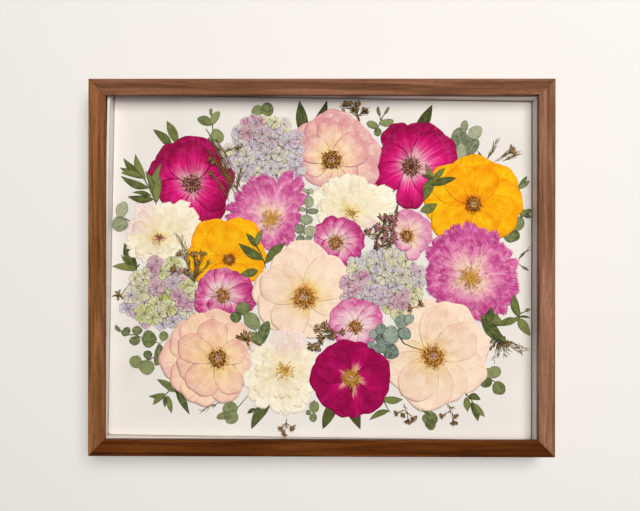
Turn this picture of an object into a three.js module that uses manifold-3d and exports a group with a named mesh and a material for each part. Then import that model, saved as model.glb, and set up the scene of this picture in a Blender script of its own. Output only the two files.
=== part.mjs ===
// A pressed flower picture: roses, carnations, hydrangeas and greenery, pressed flat and laid over
// each other on a white board, in a mitred walnut shadow box frame.
// Millimetres, +Z up, the picture facing -Y.
// The origin is the middle of the frame's back, in the plane of the dust cover (y = 0).
import * as THREE from "three";
import { mergeVertices } from "three/addons/utils/BufferGeometryUtils.js";
import Module from "manifold-3d";

// ---- Driving dimensions ----
const FRAME_WIDTH = 533.4; // outside, a 20 x 16 inch picture in a 3/4 inch moulding
const FRAME_HEIGHT = 431.8;
const FACE = 19.05; // width of the moulding's front face
const FRAME_DEPTH = 31.4; // front to back of the moulding
const LIP_DEPTH = 5; // wood in front of the glass
const RABBET = 10; // how far the glass reaches under the lip
const EDGE_EASE = 1.4; // rounding of the moulding's front edges
const MITRE_GAP = 0.3; // the two cut faces of a corner, apart
const GAP = 0.2; // between pieces that lie against each other
const GLASS = 2;
const BOARD_BEHIND_FACE = 19; // the white board's surface, behind the frame's front
const BOARD = 5; // foam board with the flowers
const BOARD_EDGE_GAP = 1.1; // dark line between the board and its spacers
const BOARD_CORNER = 4; // the board's rounded corners
const SPACER = 2.6; // thickness of the white strips round the inside
const BACK_BOARD = 3;
const COVER = 0.4; // kraft paper dust cover
const COVER_INSET = 3;
const HANGER = { width: 46, height: 9, foot: 7, bend: 2, sheet: 0.9, teeth: 11, pitch: 2.4, tooth: 1.4 };
const HANGER_ABOVE_MIDDLE = 202; // lower edge of the hanger

// The four inner corners of the spacers, which sit a little crooked in the frame.
const INSIDE = {
  topLeft: [-244.4, 203.4],
  topRight: [247.2, 195.2],
  bottomRight: [247.2, -203.6],
  bottomLeft: [-251.7, -198],
};

// Pressed pieces
const LEAF = 0.8; // thickness of a leaf
const PETAL = 0.5; // of one petal
const PETAL_STEP = 0.8; // the last petal of a flower, above the first
const HEART_RISE = 1.3; // stamens, above the board side of their flower
const TWIG = 1.6; // width of a stem
const FLORET_RISE = 0.6;

// Planes across the depth, from the back at y = 0
const railBack = -COVER - GAP;
const railFront = railBack - FRAME_DEPTH;
const boardFront = railFront + BOARD_BEHIND_FACE;
const boardBack = boardFront + BOARD;
const glassFront = railFront + LIP_DEPTH + GAP;
const glassBack = glassFront + GLASS;
const rabbetWidth = FRAME_WIDTH - 2 * (FACE - RABBET);
const rabbetHeight = FRAME_HEIGHT - 2 * (FACE - RABBET);

// ---- What lies on the board: [x, z] in millimetres from the middle of the frame ----
// A petal is [direction in degrees from +X, reach from the heart, width]; the first lies lowest.
const ROSES = {
  rose_magenta_left: { heart: [-152, 98], core: 9, petals: [[85, 56, 66], [130, 55, 46], [20, 51, 50],
    [-60, 54, 46], [-88, 50, 34], [166, 55, 40], [208, 42, 36], [55, 46, 40], [-25, 46, 40],
    [98, 50, 52]] },
  rose_magenta_right: { heart: [105, 118], core: 10, petals: [[62, 56, 54], [118, 55, 36], [98, 50, 38],
    [158, 44, 38], [205, 50, 38], [-90, 50, 33], [-40, 44, 34], [28, 57, 56]] },
  rose_blush_top: { heart: [12, 126], core: 11, petals: [[82, 60, 50], [100, 56, 44], [45, 56, 50],
    [12, 58, 52], [-22, 58, 48], [-60, 40, 46], [-100, 34, 40], [215, 38, 40], [135, 55, 46],
    [180, 36, 40], [70, 46, 40], [112, 50, 40], [25, 50, 40]] },
  rose_orange_left: { heart: [-108, 9], core: 7, petals: [[130, 54, 50], [62, 52, 50], [10, 44, 40],
    [-20, 42, 34], [180, 50, 46], [215, 46, 40], [-90, 26, 46], [100, 44, 44]] },
  rose_orange_right: { heart: [178, 74], core: 11, petals: [[90, 58, 62], [45, 60, 50], [10, 58, 50],
    [-25, 56, 50], [-70, 42, 50], [-130, 46, 46], [178, 58, 46], [140, 60, 44], [215, 56, 44],
    [70, 48, 40], [120, 50, 40]] },
  rosette_pink_left: { heart: [-115, -33], core: 8, petals: [[210, 37, 26], [178, 34, 24], [150, 33, 22],
    [122, 34, 22], [92, 33, 22], [60, 32, 22], [30, 37, 24], [-18, 40, 24], [-50, 28, 22], [-90, 24, 22],
    [-125, 24, 22], [5, 36, 24]] },
  rosette_pink_centre: { heart: [17, 29], core: 7, petals: [[165, 27, 18], [140, 31, 18], [105, 32, 20],
    [72, 31, 20], [45, 34, 20], [18, 35, 18], [-5, 34, 18], [-30, 33, 18], [-55, 31, 18], [200, 18, 16],
    [-110, 18, 18]] },
  rose_blush_left: { heart: [-121, -107], core: 11, petals: [[178, 69, 56], [150, 63, 46], [-145, 62, 48],
    [-118, 62, 46], [90, 58, 52], [125, 60, 44], [50, 50, 42], [-75, 53, 42], [0, 36, 40], [-35, 44, 38],
    [200, 50, 40], [-125, 50, 44], [105, 46, 36], [-65, 46, 32], [160, 50, 34], [20, 34, 30]] },
  rose_cream_centre: { heart: [-20, -35], core: 13, petals: [[166, 61, 52], [200, 58, 50], [-80, 50, 50],
    [-40, 50, 46], [-125, 50, 46], [88, 67, 54], [2, 50, 46], [118, 60, 46], [40, 62, 54],
    [150, 55, 50]] },
  rosette_pink_right: { heart: [100, 37], core: 8, petals: [[92, 32, 26], [60, 31, 24], [25, 32, 24],
    [-5, 30, 22], [-40, 27, 22], [-68, 30, 18], [-110, 18, 20], [150, 20, 20], [200, 16, 18],
    [120, 28, 22]] },
  rose_cream_right: { heart: [131, -104], core: 13, petals: [[60, 69, 60], [105, 66, 60], [15, 67, 58],
    [-25, 66, 50], [150, 54, 50], [185, 52, 46], [-145, 58, 50], [-62, 60, 50], [-100, 64, 60],
    [80, 60, 46], [-120, 58, 46], [30, 56, 46]] },
  rosette_pink_bottom: { heart: [40, -70], core: 8, petals: [[90, 34, 26], [62, 34, 24], [35, 36, 24],
    [8, 33, 24], [118, 34, 24], [148, 34, 24], [175, 32, 24], [-25, 28, 22], [-60, 24, 22],
    [-120, 24, 22], [205, 28, 22]] },
  rose_plum: { heart: [35, -130], core: 11, petals: [[110, 46, 50], [20, 47, 52], [-50, 48, 46],
    [-105, 47, 36], [180, 48, 50], [65, 44, 48], [-15, 47, 48], [-80, 46, 38], [-142, 46, 46],
    [145, 47, 46]] },
};

// Flowers of many small petals: how far they reach from the middle, as [direction in degrees, reach].
const CARNATIONS = {
  carnation_white_left: { heart: [-190, 34], reach: [[13, 41], [29, 54], [46, 59], [61, 52], [83, 43],
    [113, 47], [132, 54], [146, 50], [166, 36], [184, 47], [224, 36], [280, 27], [326, 36], [354, 40]] },
  carnation_white_top: { heart: [35, 63], reach: [[12, 59], [24, 58], [40, 48], [58, 42], [78, 48],
    [92, 48], [119, 48], [137, 54], [156, 47], [177, 43], [200, 40], [250, 24], [300, 22], [326, 32],
    [356, 48]] },
  carnation_pink_top: { heart: [-58, 56], reach: [[7, 33], [27, 43], [40, 53], [50, 61], [63, 63],
    [80, 59], [94, 56], [119, 56], [135, 57], [153, 58], [176, 60], [190, 52], [220, 42], [255, 36],
    [285, 39], [307, 40], [328, 33]] },
  carnation_pink_right: { heart: [174, -12], reach: [[7, 59], [31, 66], [49, 60], [67, 67], [78, 56],
    [86, 63], [101, 70], [113, 67], [129, 67], [142, 63], [154, 60], [172, 52], [194, 53], [206, 58],
    [220, 50], [238, 48], [278, 57], [298, 56], [307, 63], [318, 67], [335, 61], [349, 69], [357, 62]] },
  carnation_white_bottom: { heart: [-42, -121], reach: [[0, 36], [37, 43], [61, 49], [78, 50], [100, 45],
    [128, 43], [148, 47], [172, 44], [192, 46], [211, 56], [224, 58], [241, 53], [256, 54], [272, 57],
    [288, 50], [308, 46], [329, 39]] },
};
const HYDRANGEAS = {
  hydrangea_top: { heart: [-66, 143], reach: [[9, 46], [30, 44], [53, 44], [73, 37], [97, 35], [121, 43],
    [137, 40], [154, 43], [169, 48], [180, 50], [198, 41], [221, 42], [250, 40], [295, 38], [323, 51],
    [346, 53]] },
  hydrangea_left: { heart: [-187, -30], reach: [[14, 41], [43, 37], [74, 44], [91, 45], [110, 47],
    [129, 41], [143, 41], [164, 36], [193, 46], [209, 45], [227, 52], [248, 48], [267, 50], [282, 45],
    [306, 37], [328, 41], [346, 39]] },
  hydrangea_right: { heart: [78, -15], reach: [[4, 47], [24, 48], [58, 41], [80, 42], [109, 39],
    [138, 40], [155, 42], [166, 51], [185, 53], [203, 52], [227, 41], [250, 37], [270, 45], [291, 48],
    [316, 47], [337, 50]] },
};

// Greenery: a leaf is [base x, base z, tip x, tip z, width], a stem a list of points, a bud [x, z, across].
const EUCALYPTUS = {
  eucalyptus_upper_left: { leaves: [[-129, 168, -146, 175, 11], [-129, 168, -120, 183, 9],
    [-127, 162, -117, 147, 14], [-130, 179, -130, 187, 4]], stems: [[[-128, 150], [-127, 160],
    [-129, 171], [-130, 182]], [[-128, 150], [-136, 163]]] },
  eucalyptus_top_right: { leaves: [[66, 165, 53, 170, 9], [66, 164, 66, 154, 9], [68, 170, 85, 172, 9],
    [69, 178, 66, 189, 4], [74, 180, 79, 189, 3.5]], stems: [[[66, 156], [66, 164], [70, 172], [68, 180]],
    [[70, 174], [76, 183]]] },
  eucalyptus_corner: { leaves: [[168, 138, 160, 164, 21], [174, 152, 187, 165, 15],
    [166, 158, 169, 173, 9], [166, 128, 184, 150, 15], [159, 124, 164, 146, 13]], stems: [[[160, 124],
    [172, 146], [180, 158]]] },
  eucalyptus_right: { leaves: [[204, 42, 220, 48, 12], [214, 36, 233, 38, 17], [221, 50, 238, 55, 17],
    [234, 60, 240, 68, 7], [240, 64, 246, 68, 6], [238, 61, 246, 59, 5]], stems: [[[205, 40], [218, 44],
    [228, 53], [238, 62], [242, 65]]] },
  eucalyptus_left: { leaves: [[-238, 58, -231, 77, 14], [-228, 53, -246, 47, 18]], stems: [[[-238, 60],
    [-230, 57], [-221, 50]]] },
  eucalyptus_left_row: { leaves: [[-236, -76, -243, -70, 5], [-233, -81, -226, -71, 9],
    [-217, -80, -217, -69, 12], [-213, -84, -226, -88, 11], [-203, -95, -204, -74, 17],
    [-186, -87, -185, -75, 11]], stems: [[[-242, -68], [-232, -79], [-217, -80], [-204, -86], [-188, -90],
    [-186, -84]]] },
  eucalyptus_left_low: { leaves: [[-211, -111, -226, -111, 15], [-201, -108, -208, -99, 10],
    [-204, -109, -205, -127, 18], [-194, -116, -190, -90, 11]], stems: [[[-212, -111], [-202, -109],
    [-193, -104]]] },
  eucalyptus_bottom_left: { leaves: [[-98, -165, -116, -168, 17], [-100, -170, -111, -183, 14],
    [-105, -174, -123, -177, 9]], stems: [[[-110, -176], [-98, -165], [-86, -151]]] },
  eucalyptus_bottom_right: { leaves: [[127, -186, 130, -169, 18], [124, -180, 132, -190, 12],
    [132, -171, 116, -166, 4]], stems: [[[118, -166], [130, -171], [128, -182]]] },
  eucalyptus_right_low: { leaves: [[198, -128, 210, -118, 14], [192, -131, 198, -118, 12],
    [200, -131, 187, -138, 12], [204, -134, 214, -148, 15]], stems: [[[190, -128], [199, -131],
    [207, -136]]] },
  eucalyptus_silver_spray: { leaves: [[-15, 87, -10, 92, 6], [-15, 88, -24, 92, 4],
    [-14, 70, -14, 84, 11], [-17, 67, -27, 69, 5], [-17, 66, -3, 66, 7], [-18, 50, -17, 62, 16],
    [-20, 42, -31, 48, 12], [-20, 41, -6, 45, 13], [-21, 31, -30, 34, 11], [-21, 33, -10, 35, 5]],
    stems: [[[-15, 92], [-16, 80], [-17, 66], [-20, 46], [-21, 31]]] },
  eucalyptus_green_centre: { leaves: [[-90, -56, -95, -41, 17], [-94, -56, -107, -60, 13],
    [-74, -72, -89, -54, 17], [-71, -90, -62, -63, 13], [-71, -91, -82, -76, 11]], stems: [[[-95, -50],
    [-86, -62], [-76, -75], [-70, -92]]] },
  eucalyptus_blue: { leaves: [[66, -78, 56, -80, 12], [74, -79, 67, -66, 13], [76, -80, 65, -89, 15],
    [64, -90, 54, -92, 9], [84, -90, 82, -68, 19], [74, -92, 90, -104, 18], [92, -71, 98, -55, 16],
    [98, -65, 108, -56, 11], [90, -74, 105, -82, 14], [76, -92, 63, -98, 12]],
    stems: [[[106, -56],
    [95, -68], [84, -80], [74, -92], [62, -90]], [[84, -80], [64, -78]], [[88, -76], [98, -90],
    [118, -97]]] },
};
const RUSCUS = {
  ruscus_upper_left: { leaves: [[-170, 146, -182, 172, 11], [-176, 141, -198, 162, 10]],
    stems: [[[-178, 143], [-168, 147]]] },
  ruscus_left: { leaves: [[-217, -2, -232, 28, 12], [-216, -3, -246, 1, 9], [-224, 2, -236, 15, 3]],
    stems: [[[-214, 3], [-218, -2], [-226, 4]]] },
  ruscus_bottom_left: { leaves: [[-168, -147, -193, -132, 9], [-171, -138, -155, -173, 9]],
    stems: [[[-171, -138], [-166, -150]]] },
  ruscus_bottom_right: { leaves: [[170, -152, 172, -169, 8], [173, -150, 187, -155, 8],
    [176, -158, 184, -180, 9], [179, -159, 192, -175, 7]], stems: [[[169, -147], [174, -153],
    [181, -162]], [[174, -153], [169, -155]]] },
  ruscus_left_spray: { leaves: [[-207, 103, -219, 133, 9], [-213, 108, -233, 128, 8],
    [-211, 108, -237, 117, 8], [-210, 105, -236, 111, 7], [-203, 93, -236, 107, 9],
    [-197, 80, -228, 83, 9], [-200, 84, -222, 88, 5], [-197, 85, -188, 122, 9], [-196, 80, -207, 113, 8],
    [-194, 76, -189, 106, 9]], stems: [[[-214, 112], [-206, 100], [-200, 88], [-194, 73]]] },
  ruscus_centre: { leaves: [[-68, 9, -97, 28, 11], [-66, 5, -42, 29, 11], [-76, 24, -88, 40, 7],
    [-76, 25, -69, 45, 7]], stems: [[[-77, 28], [-68, 9], [-65, -1]]] },
  ruscus_right: { leaves: [[232, -58, 226, -31, 10], [231, -59, 245, -80, 11], [231, -60, 204, -68, 9],
    [212, -64, 186, -58, 13], [194, -66, 200, -46, 10], [188, -60, 216, -88, 14]], stems: [[[206, -67],
    [232, -57], [234, -64]]] },
  ruscus_orange: { leaves: [[130, 97, 122, 122, 7], [129, 104, 121, 79, 12], [129, 97, 158, 105, 9],
    [131, 102, 145, 117, 7], [131, 104, 117, 108, 4]], stems: [[[130, 94], [131, 104], [128, 112]]] },
};
const WAXFLOWERS = {
  waxflower_upper_left: { stems: [[[-133, 152], [-122, 140], [-114, 120], [-107, 100], [-99, 92]],
    [[-128, 148], [-119, 130], [-110, 112], [-99, 92]], [[-132, 112], [-122, 102], [-111, 82]],
    [[-130, 125], [-119, 118], [-107, 100]], [[-111, 82], [-107, 100]]], buds: [[-127, 122, 5],
    [-131, 126, 4], [-121, 129, 4], [-129, 110, 4], [-119, 137, 4]] },
  waxflower_left: { stems: [[[-168, 38], [-162, 25], [-158, 10], [-155, -5], [-148, -18]], [[-150, 16],
    [-147, 5], [-150, -14]], [[-139, 16], [-144, 2], [-149, -15]], [[-175, -2], [-160, -6], [-150, -15]],
    [[-131, 4], [-142, -6], [-149, -15]], [[-167, 16], [-158, 8]]], buds: [[-167, 16, 5], [-149, 15, 6],
    [-146, 6, 5], [-139, 16, 5], [-173, -2, 6], [-158, -5, 6]] },
  waxflower_centre: { stems: [[[62, 22], [66, 35], [72, 45], [78, 60]], [[80, 25], [76, 38], [82, 57]],
    [[90, 75], [87, 60], [82, 30], [80, 25]], [[52, 42], [60, 36], [66, 35]], [[66, 25], [80, 25]],
    [[66, 47], [72, 45]]], buds: [[74, 58, 8], [83, 57, 8], [76, 43, 8], [66, 47, 7], [55, 42, 6],
    [84, 33, 7], [73.5, 34, 8], [66, 26, 6]] },
};

// What is laid first lies lowest. Greenery under the flowers comes first, and sprigs over them last.
const LAYING_ORDER = ["eucalyptus_upper_left", "eucalyptus_top_right", "eucalyptus_corner",
  "eucalyptus_right", "eucalyptus_left", "eucalyptus_left_row", "eucalyptus_left_low",
  "eucalyptus_bottom_left", "eucalyptus_bottom_right", "eucalyptus_right_low", "ruscus_upper_left",
  "ruscus_left", "ruscus_bottom_left", "ruscus_bottom_right", "rose_magenta_left", "rose_magenta_right",
  "rose_blush_top", "hydrangea_top", "carnation_white_left", "carnation_white_top", "hydrangea_left",
  "carnation_pink_top", "rose_orange_left", "rose_orange_right", "rosette_pink_left",
  "rosette_pink_centre", "carnation_pink_right", "rose_blush_left", "ruscus_centre",
  "eucalyptus_silver_spray", "ruscus_right", "rose_cream_centre", "hydrangea_right", "rosette_pink_right",
  "rose_cream_right", "carnation_white_bottom", "rosette_pink_bottom", "rose_plum", "ruscus_left_spray",
  "ruscus_orange", "eucalyptus_green_centre", "eucalyptus_blue", "waxflower_upper_left", "waxflower_left",
  "waxflower_centre"];

// ---- Finishes ----
const finish = (color, roughness, metalness = 0) =>
  new THREE.MeshStandardMaterial({ color, roughness, metalness });
const WALNUT = finish("#6f4833", 0.55);
const WHITE_BOARD = finish("#eee7e1", 0.85);
const KRAFT = finish("#a9825a", 0.9);
const HARDBOARD = finish("#6b4a32", 0.85);
const STEEL = finish("#b9b7b0", 0.35, 0.9);
const CLEAR_GLASS = new THREE.MeshStandardMaterial({
  color: "#f4fbf8", roughness: 0.05, transparent: true, opacity: 0.15 });
const PETALS = { rose_magenta: "#b8085f", rose_plum: "#95064f", rose_blush: "#eec3a8", rose_cream: "#f4ddc4",
  rose_orange: "#fdab12", rosette_pink: "#d873ab", carnation_white: "#f3e3c4", carnation_pink: "#cc62a8",
  hydrangea: "#b9adbb", eucalyptus: "#74875f", ruscus: "#5a7339", waxflower: "#7a5032" };
const petalFinish = Object.fromEntries(
  Object.entries(PETALS).map(([kind, color]) => [kind, finish(color, 0.8)]));
const finishOf = (name) => petalFinish[Object.keys(petalFinish).find((kind) => name.startsWith(kind))];

// ---- Solids ----
const part = new THREE.Group();

function add(name, geometry, material) {
  const mesh = new THREE.Mesh(geometry, material);
  mesh.name = name;
  part.add(mesh);
  return mesh;
}

// Six times the volume that the triangles enclose, which is negative when they face inwards.
function signedVolume(points, triangles) {
  const [a, b, c] = [new THREE.Vector3(), new THREE.Vector3(), new THREE.Vector3()];
  return triangles.reduce((sum, [i, j, k]) =>
    sum + a.fromArray(points[i]).dot(b.fromArray(points[j]).cross(c.fromArray(points[k]))), 0);
}

function solid(points, triangles) {
  const turned = () => triangles.map(([i, j, k]) => [i, k, j]);
  const outwards = signedVolume(points, triangles) > 0 ? triangles : turned();
  const geometry = new THREE.BufferGeometry();
  geometry.setAttribute("position", new THREE.Float32BufferAttribute(points.flat(), 3));
  geometry.setIndex(outwards.flat());
  geometry.computeVertexNormals();
  return geometry;
}

// A flat plate whose outline lies in the XZ plane, from its back plane towards the front.
function plate(outline, back, thickness, segments = 4) {
  const shape = outline instanceof THREE.Shape
    ? outline
    : new THREE.Shape(outline.map(([x, z]) => new THREE.Vector2(x, z)));
  const geometry = new THREE.ExtrudeGeometry(
    shape, { depth: thickness, bevelEnabled: false, curveSegments: segments });
  return geometry.rotateX(Math.PI / 2).translate(0, back, 0);
}

function rectangle(width, height) {
  const [x, z] = [width / 2, height / 2];
  return [[-x, -z], [x, -z], [x, z], [-x, z]];
}

// ---- Joining with manifold-3d ----
const wasm = await Module();
wasm.setup();

function toManifold(geometry) {
  const bare = geometry.clone();
  bare.deleteAttribute("normal");
  bare.deleteAttribute("uv");
  const merged = mergeVertices(bare, 1e-4);
  return new wasm.Manifold(new wasm.Mesh({
    numProp: 3,
    vertProperties: merged.getAttribute("position").array,
    triVerts: new Uint32Array(merged.index.array),
  }));
}

function fromManifold(made) {
  const mesh = made.getMesh();
  const geometry = new THREE.BufferGeometry();
  geometry.setAttribute("position", new THREE.BufferAttribute(mesh.vertProperties, 3));
  geometry.setIndex(new THREE.BufferAttribute(mesh.triVerts, 1));
  geometry.computeVertexNormals();
  return geometry;
}

// ---- The frame ----
// The moulding's section as [inwards from the outer edge, y]: an L whose foot is the lip in
// front of the glass.
function mouldingSection() {
  const eased = (w, y, turn) => [0, 1, 2, 3].map((step) => {
    const angle = turn + (step / 3) * (Math.PI / 2);
    return [w + EDGE_EASE * Math.cos(angle), y + EDGE_EASE * Math.sin(angle)];
  });
  return [
    ...eased(EDGE_EASE, railFront + EDGE_EASE, Math.PI),
    ...eased(FACE - EDGE_EASE, railFront + EDGE_EASE, 1.5 * Math.PI),
    [FACE, railFront + LIP_DEPTH],
    [FACE - RABBET, railFront + LIP_DEPTH],
    [FACE - RABBET, railBack],
    [0, railBack],
  ];
}

// A rail along X with mitred ends, its outer edge at z = 0 and the section below it.
function rail(length) {
  const section = mouldingSection();
  const count = section.length;
  const end = (side) => section.map(([w, y]) => [side * (length / 2 - w - MITRE_GAP / 2), y, -w]);
  const cap = THREE.ShapeUtils.triangulateShape(section.map(([w, y]) => new THREE.Vector2(w, y)), []);
  const triangles = cap.flatMap(([a, b, c]) => [[a, b, c], [a + count, c + count, b + count]]);
  for (let i = 0; i < count; i++) {
    const next = (i + 1) % count;
    triangles.push([i, i + count, next], [next, i + count, next + count]);
  }
  return solid([...end(-1), ...end(1)], triangles);
}

function addRails() {
  const across = rail(FRAME_WIDTH);
  const upright = rail(FRAME_HEIGHT);
  const rails = [
    ["rail_top", across, 0, 0, FRAME_HEIGHT / 2],
    ["rail_bottom", across, Math.PI, 0, -FRAME_HEIGHT / 2],
    ["rail_right", upright, Math.PI / 2, FRAME_WIDTH / 2, 0],
    ["rail_left", upright, -Math.PI / 2, -FRAME_WIDTH / 2, 0]];
  for (const [name, geometry, turn, x, z] of rails) {
    const mesh = add(name, geometry, WALNUT);
    mesh.rotation.y = turn;
    mesh.position.set(x, 0, z);
  }
}

// White strips on edge, from the glass to the back board. Each follows its own crooked line
// between two corners.
function addSpacers() {
  const { topLeft, topRight, bottomRight, bottomLeft } = INSIDE;
  const depth = boardBack - glassBack - GAP;
  const strip = (name, a, b, outX, outZ) => {
    const outer = [[b[0] + outX, b[1] + outZ], [a[0] + outX, a[1] + outZ]];
    add(name, plate([a, b, ...outer], boardBack, depth), WHITE_BOARD);
  };
  const shifted = ([x, z], dx, dz) => [x + dx, z + dz];
  strip("spacer_top", shifted(topLeft, -SPACER, 0), shifted(topRight, SPACER, 0), 0, SPACER);
  strip("spacer_bottom", shifted(bottomLeft, -SPACER, 0), shifted(bottomRight, SPACER, 0), 0, -SPACER);
  strip("spacer_left", shifted(topLeft, 0, -GAP), shifted(bottomLeft, 0, GAP), -SPACER, 0);
  strip("spacer_right", shifted(topRight, 0, -GAP), shifted(bottomRight, 0, GAP), SPACER, 0);
}

// The board fills the spacers but for a narrow gap, and has rounded corners.
function boardShape() {
  const g = BOARD_EDGE_GAP;
  const corners = [[INSIDE.bottomLeft, g, g], [INSIDE.bottomRight, -g, g],
    [INSIDE.topRight, -g, -g], [INSIDE.topLeft, g, -g]]
    .map(([[x, z], dx, dz]) => new THREE.Vector2(x + dx, z + dz));
  const shape = new THREE.Shape();
  corners.forEach((corner, i) => {
    const towards = (other) => corner.clone().add(other.clone().sub(corner).setLength(BOARD_CORNER));
    const from = towards(corners[(i + 3) % 4]);
    const to = towards(corners[(i + 1) % 4]);
    if (i) shape.lineTo(from.x, from.y);
    else shape.moveTo(from.x, from.y);
    shape.quadraticCurveTo(corner.x, corner.y, to.x, to.y);
  });
  return shape;
}

function addInside() {
  const pane = rectangle(rabbetWidth - 2, rabbetHeight - 2);
  add("glass_pane", plate(pane, glassBack, GLASS), CLEAR_GLASS);
  addSpacers();
  add("mount_board", plate(boardShape(), boardBack, BOARD), WHITE_BOARD);
  add("back_board", plate(pane, boardBack + GAP + BACK_BOARD, BACK_BOARD), HARDBOARD);
}

// A strip of steel on two feet, bent out from the frame, with a row of teeth along its lower
// edge for the nail.
function sawtoothHanger() {
  const { width, height, foot, bend, sheet, teeth, pitch, tooth } = HANGER;
  const [end, footEnd, middle] = [width / 2, width / 2 - foot, width / 2 - foot - bend];
  const footFront = GAP;
  const footBack = GAP + sheet; // where the raised middle starts
  const section = [[-end, footFront], [-footEnd, footFront], [-middle, footBack], [middle, footBack],
    [footEnd, footFront], [end, footFront], [end, footBack], [footEnd + 0.4, footBack],
    [middle + 0.4, footBack + sheet], [-middle - 0.4, footBack + sheet], [-footEnd - 0.4, footBack],
    [-end, footBack]];
  const shape = new THREE.Shape(section.map(([x, y]) => new THREE.Vector2(x, y)));
  let made = toManifold(new THREE.ExtrudeGeometry(shape, { depth: height, bevelEnabled: false }));
  for (let i = 0; i < teeth; i++) {
    const x = (i - (teeth - 1) / 2) * pitch;
    const notch = [[x - pitch / 2, -1], [x + pitch / 2, -1], [x, tooth]];
    made = made.subtract(toManifold(plate(notch, 2 * sheet + 1, 2 * sheet + 2)));
  }
  return fromManifold(made).translate(0, 0, HANGER_ABOVE_MIDDLE);
}

function addBack() {
  const cover = rectangle(FRAME_WIDTH - 2 * COVER_INSET, FRAME_HEIGHT - 2 * COVER_INSET);
  add("dust_cover", plate(cover, 0, COVER), KRAFT);
  add("sawtooth_hanger", sawtoothHanger(), STEEL);
}

// ---- Laying pressed pieces over each other ----
// The height above the board of what is laid already, on a grid of one millimetre.
const CELL = 1;
const COLUMNS = 520;
const ROWS = 420;
const laid = new Float32Array(COLUMNS * ROWS);
const cellOf = (x, z) => [Math.round(x / CELL + COLUMNS / 2), Math.round(z / CELL + ROWS / 2)];

// Visits points all over a triangle of [x, z, height] corners, no more than half a cell apart.
function overTriangle(corners, visit) {
  const [a, b, c] = corners;
  const side = Math.max(Math.hypot(a[0] - b[0], a[1] - b[1]), Math.hypot(b[0] - c[0], b[1] - c[1]),
    Math.hypot(c[0] - a[0], c[1] - a[1]));
  const steps = Math.max(1, Math.ceil(side / (CELL / 2)));
  for (let i = 0; i <= steps; i++) {
    for (let j = 0; j <= steps - i; j++) {
      const [u, v] = [i / steps, j / steps];
      visit(...[0, 1, 2].map((k) => a[k] * (1 - u - v) + b[k] * u + c[k] * v));
    }
  }
}

function highestUnder(corners) {
  let highest = 0;
  overTriangle(corners, (x, z) => {
    const [i, j] = cellOf(x, z);
    highest = Math.max(highest, laid[j * COLUMNS + i]);
  });
  return highest;
}

function lay(corners) {
  overTriangle(corners, (x, z, height) => {
    const [i, j] = cellOf(x, z);
    for (let dj = -1; dj <= 1; dj++) {
      for (let di = -1; di <= 1; di++) {
        const cell = (j + dj) * COLUMNS + i + di;
        laid[cell] = Math.max(laid[cell], height);
      }
    }
  });
}

// A thin sheet that drapes over what lies below it. points are [x, z, thickness] and faces index
// them; each corner rises to the highest thing under any face it belongs to, so the sheet clears
// all of it. edge is its outline.
function drapedSheet(points, faces, edge) {
  const under = points.map(() => 0);
  for (const face of faces) {
    const highest = highestUnder(face.map((i) => points[i]));
    for (const i of face) under[i] = Math.max(under[i], highest);
  }
  const lower = points.map(([x, z], i) => [x, boardFront - under[i] - GAP, z]);
  const upper = points.map(([x, z, thick], i) => [x, boardFront - under[i] - GAP - thick, z]);
  const tops = points.map(([x, z, thick], i) => [x, z, under[i] + GAP + thick]);
  for (const face of faces) lay(face.map((i) => tops[i]));
  const count = points.length;
  const triangles = faces.flatMap(([a, b, c]) => [[a, b, c], [a + count, c + count, b + count]]);
  edge.forEach((i, at) => {
    const next = edge[(at + 1) % edge.length];
    triangles.push([i, i + count, next], [next, i + count, next + count]);
  });
  return solid([...lower, ...upper], triangles);
}

// Rings of points round a heart: rings[k][j] is the point at direction j of ring k, and each is
// [x, z, thickness].
function ringedSheet(heart, heartThickness, rings) {
  const turns = rings[0].length;
  const points = [[...heart, heartThickness], ...rings.flat()];
  const at = (ring, j) => 1 + ring * turns + (j % turns);
  const faces = [];
  for (let j = 0; j < turns; j++) {
    faces.push([0, at(0, j), at(0, j + 1)]);
    for (let ring = 1; ring < rings.length; ring++) {
      faces.push([at(ring - 1, j), at(ring, j), at(ring, j + 1)]);
      faces.push([at(ring - 1, j), at(ring, j + 1), at(ring - 1, j + 1)]);
    }
  }
  return drapedSheet(points, faces, rings[0].map((_, j) => at(rings.length - 1, j)));
}

const radians = THREE.MathUtils.degToRad;

// A petal widens from the heart to about two thirds of its reach and ends round.
function petalHalfWidth(share, width) {
  if (share <= 0 || share >= 1) return 0;
  return (width / 2) * Math.sqrt(Math.sin(Math.PI * share ** 1.5));
}

// How far a petal reaches in a direction, or 0 where it doesn't.
function petalReach([direction, reach, width], angle) {
  const off = angle - radians(direction);
  if (Math.cos(off) <= 0) return 0;
  for (let r = reach; r > 0; r -= 0.5) {
    if (Math.abs(r * Math.sin(off)) <= petalHalfWidth((r * Math.cos(off)) / reach, width)) return r;
  }
  return 0;
}

// Directions that catch each petal's tip, and two between it and the next tip, or one where they are close.
function directionsFor(petals) {
  const tips = petals.map(([direction]) => (direction + 720) % 360).sort((a, b) => a - b)
    .filter((tip, i, all) => i === 0 || tip - all[i - 1] > 12);
  return tips.flatMap((tip, i) => {
    const span = (i + 1 < tips.length ? tips[i + 1] : tips[0] + 360) - tip;
    const between = span > 24 ? [0, 1 / 3, 2 / 3] : [0, 0.5];
    return between.map((share) => radians(tip + share * span));
  });
}

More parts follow.
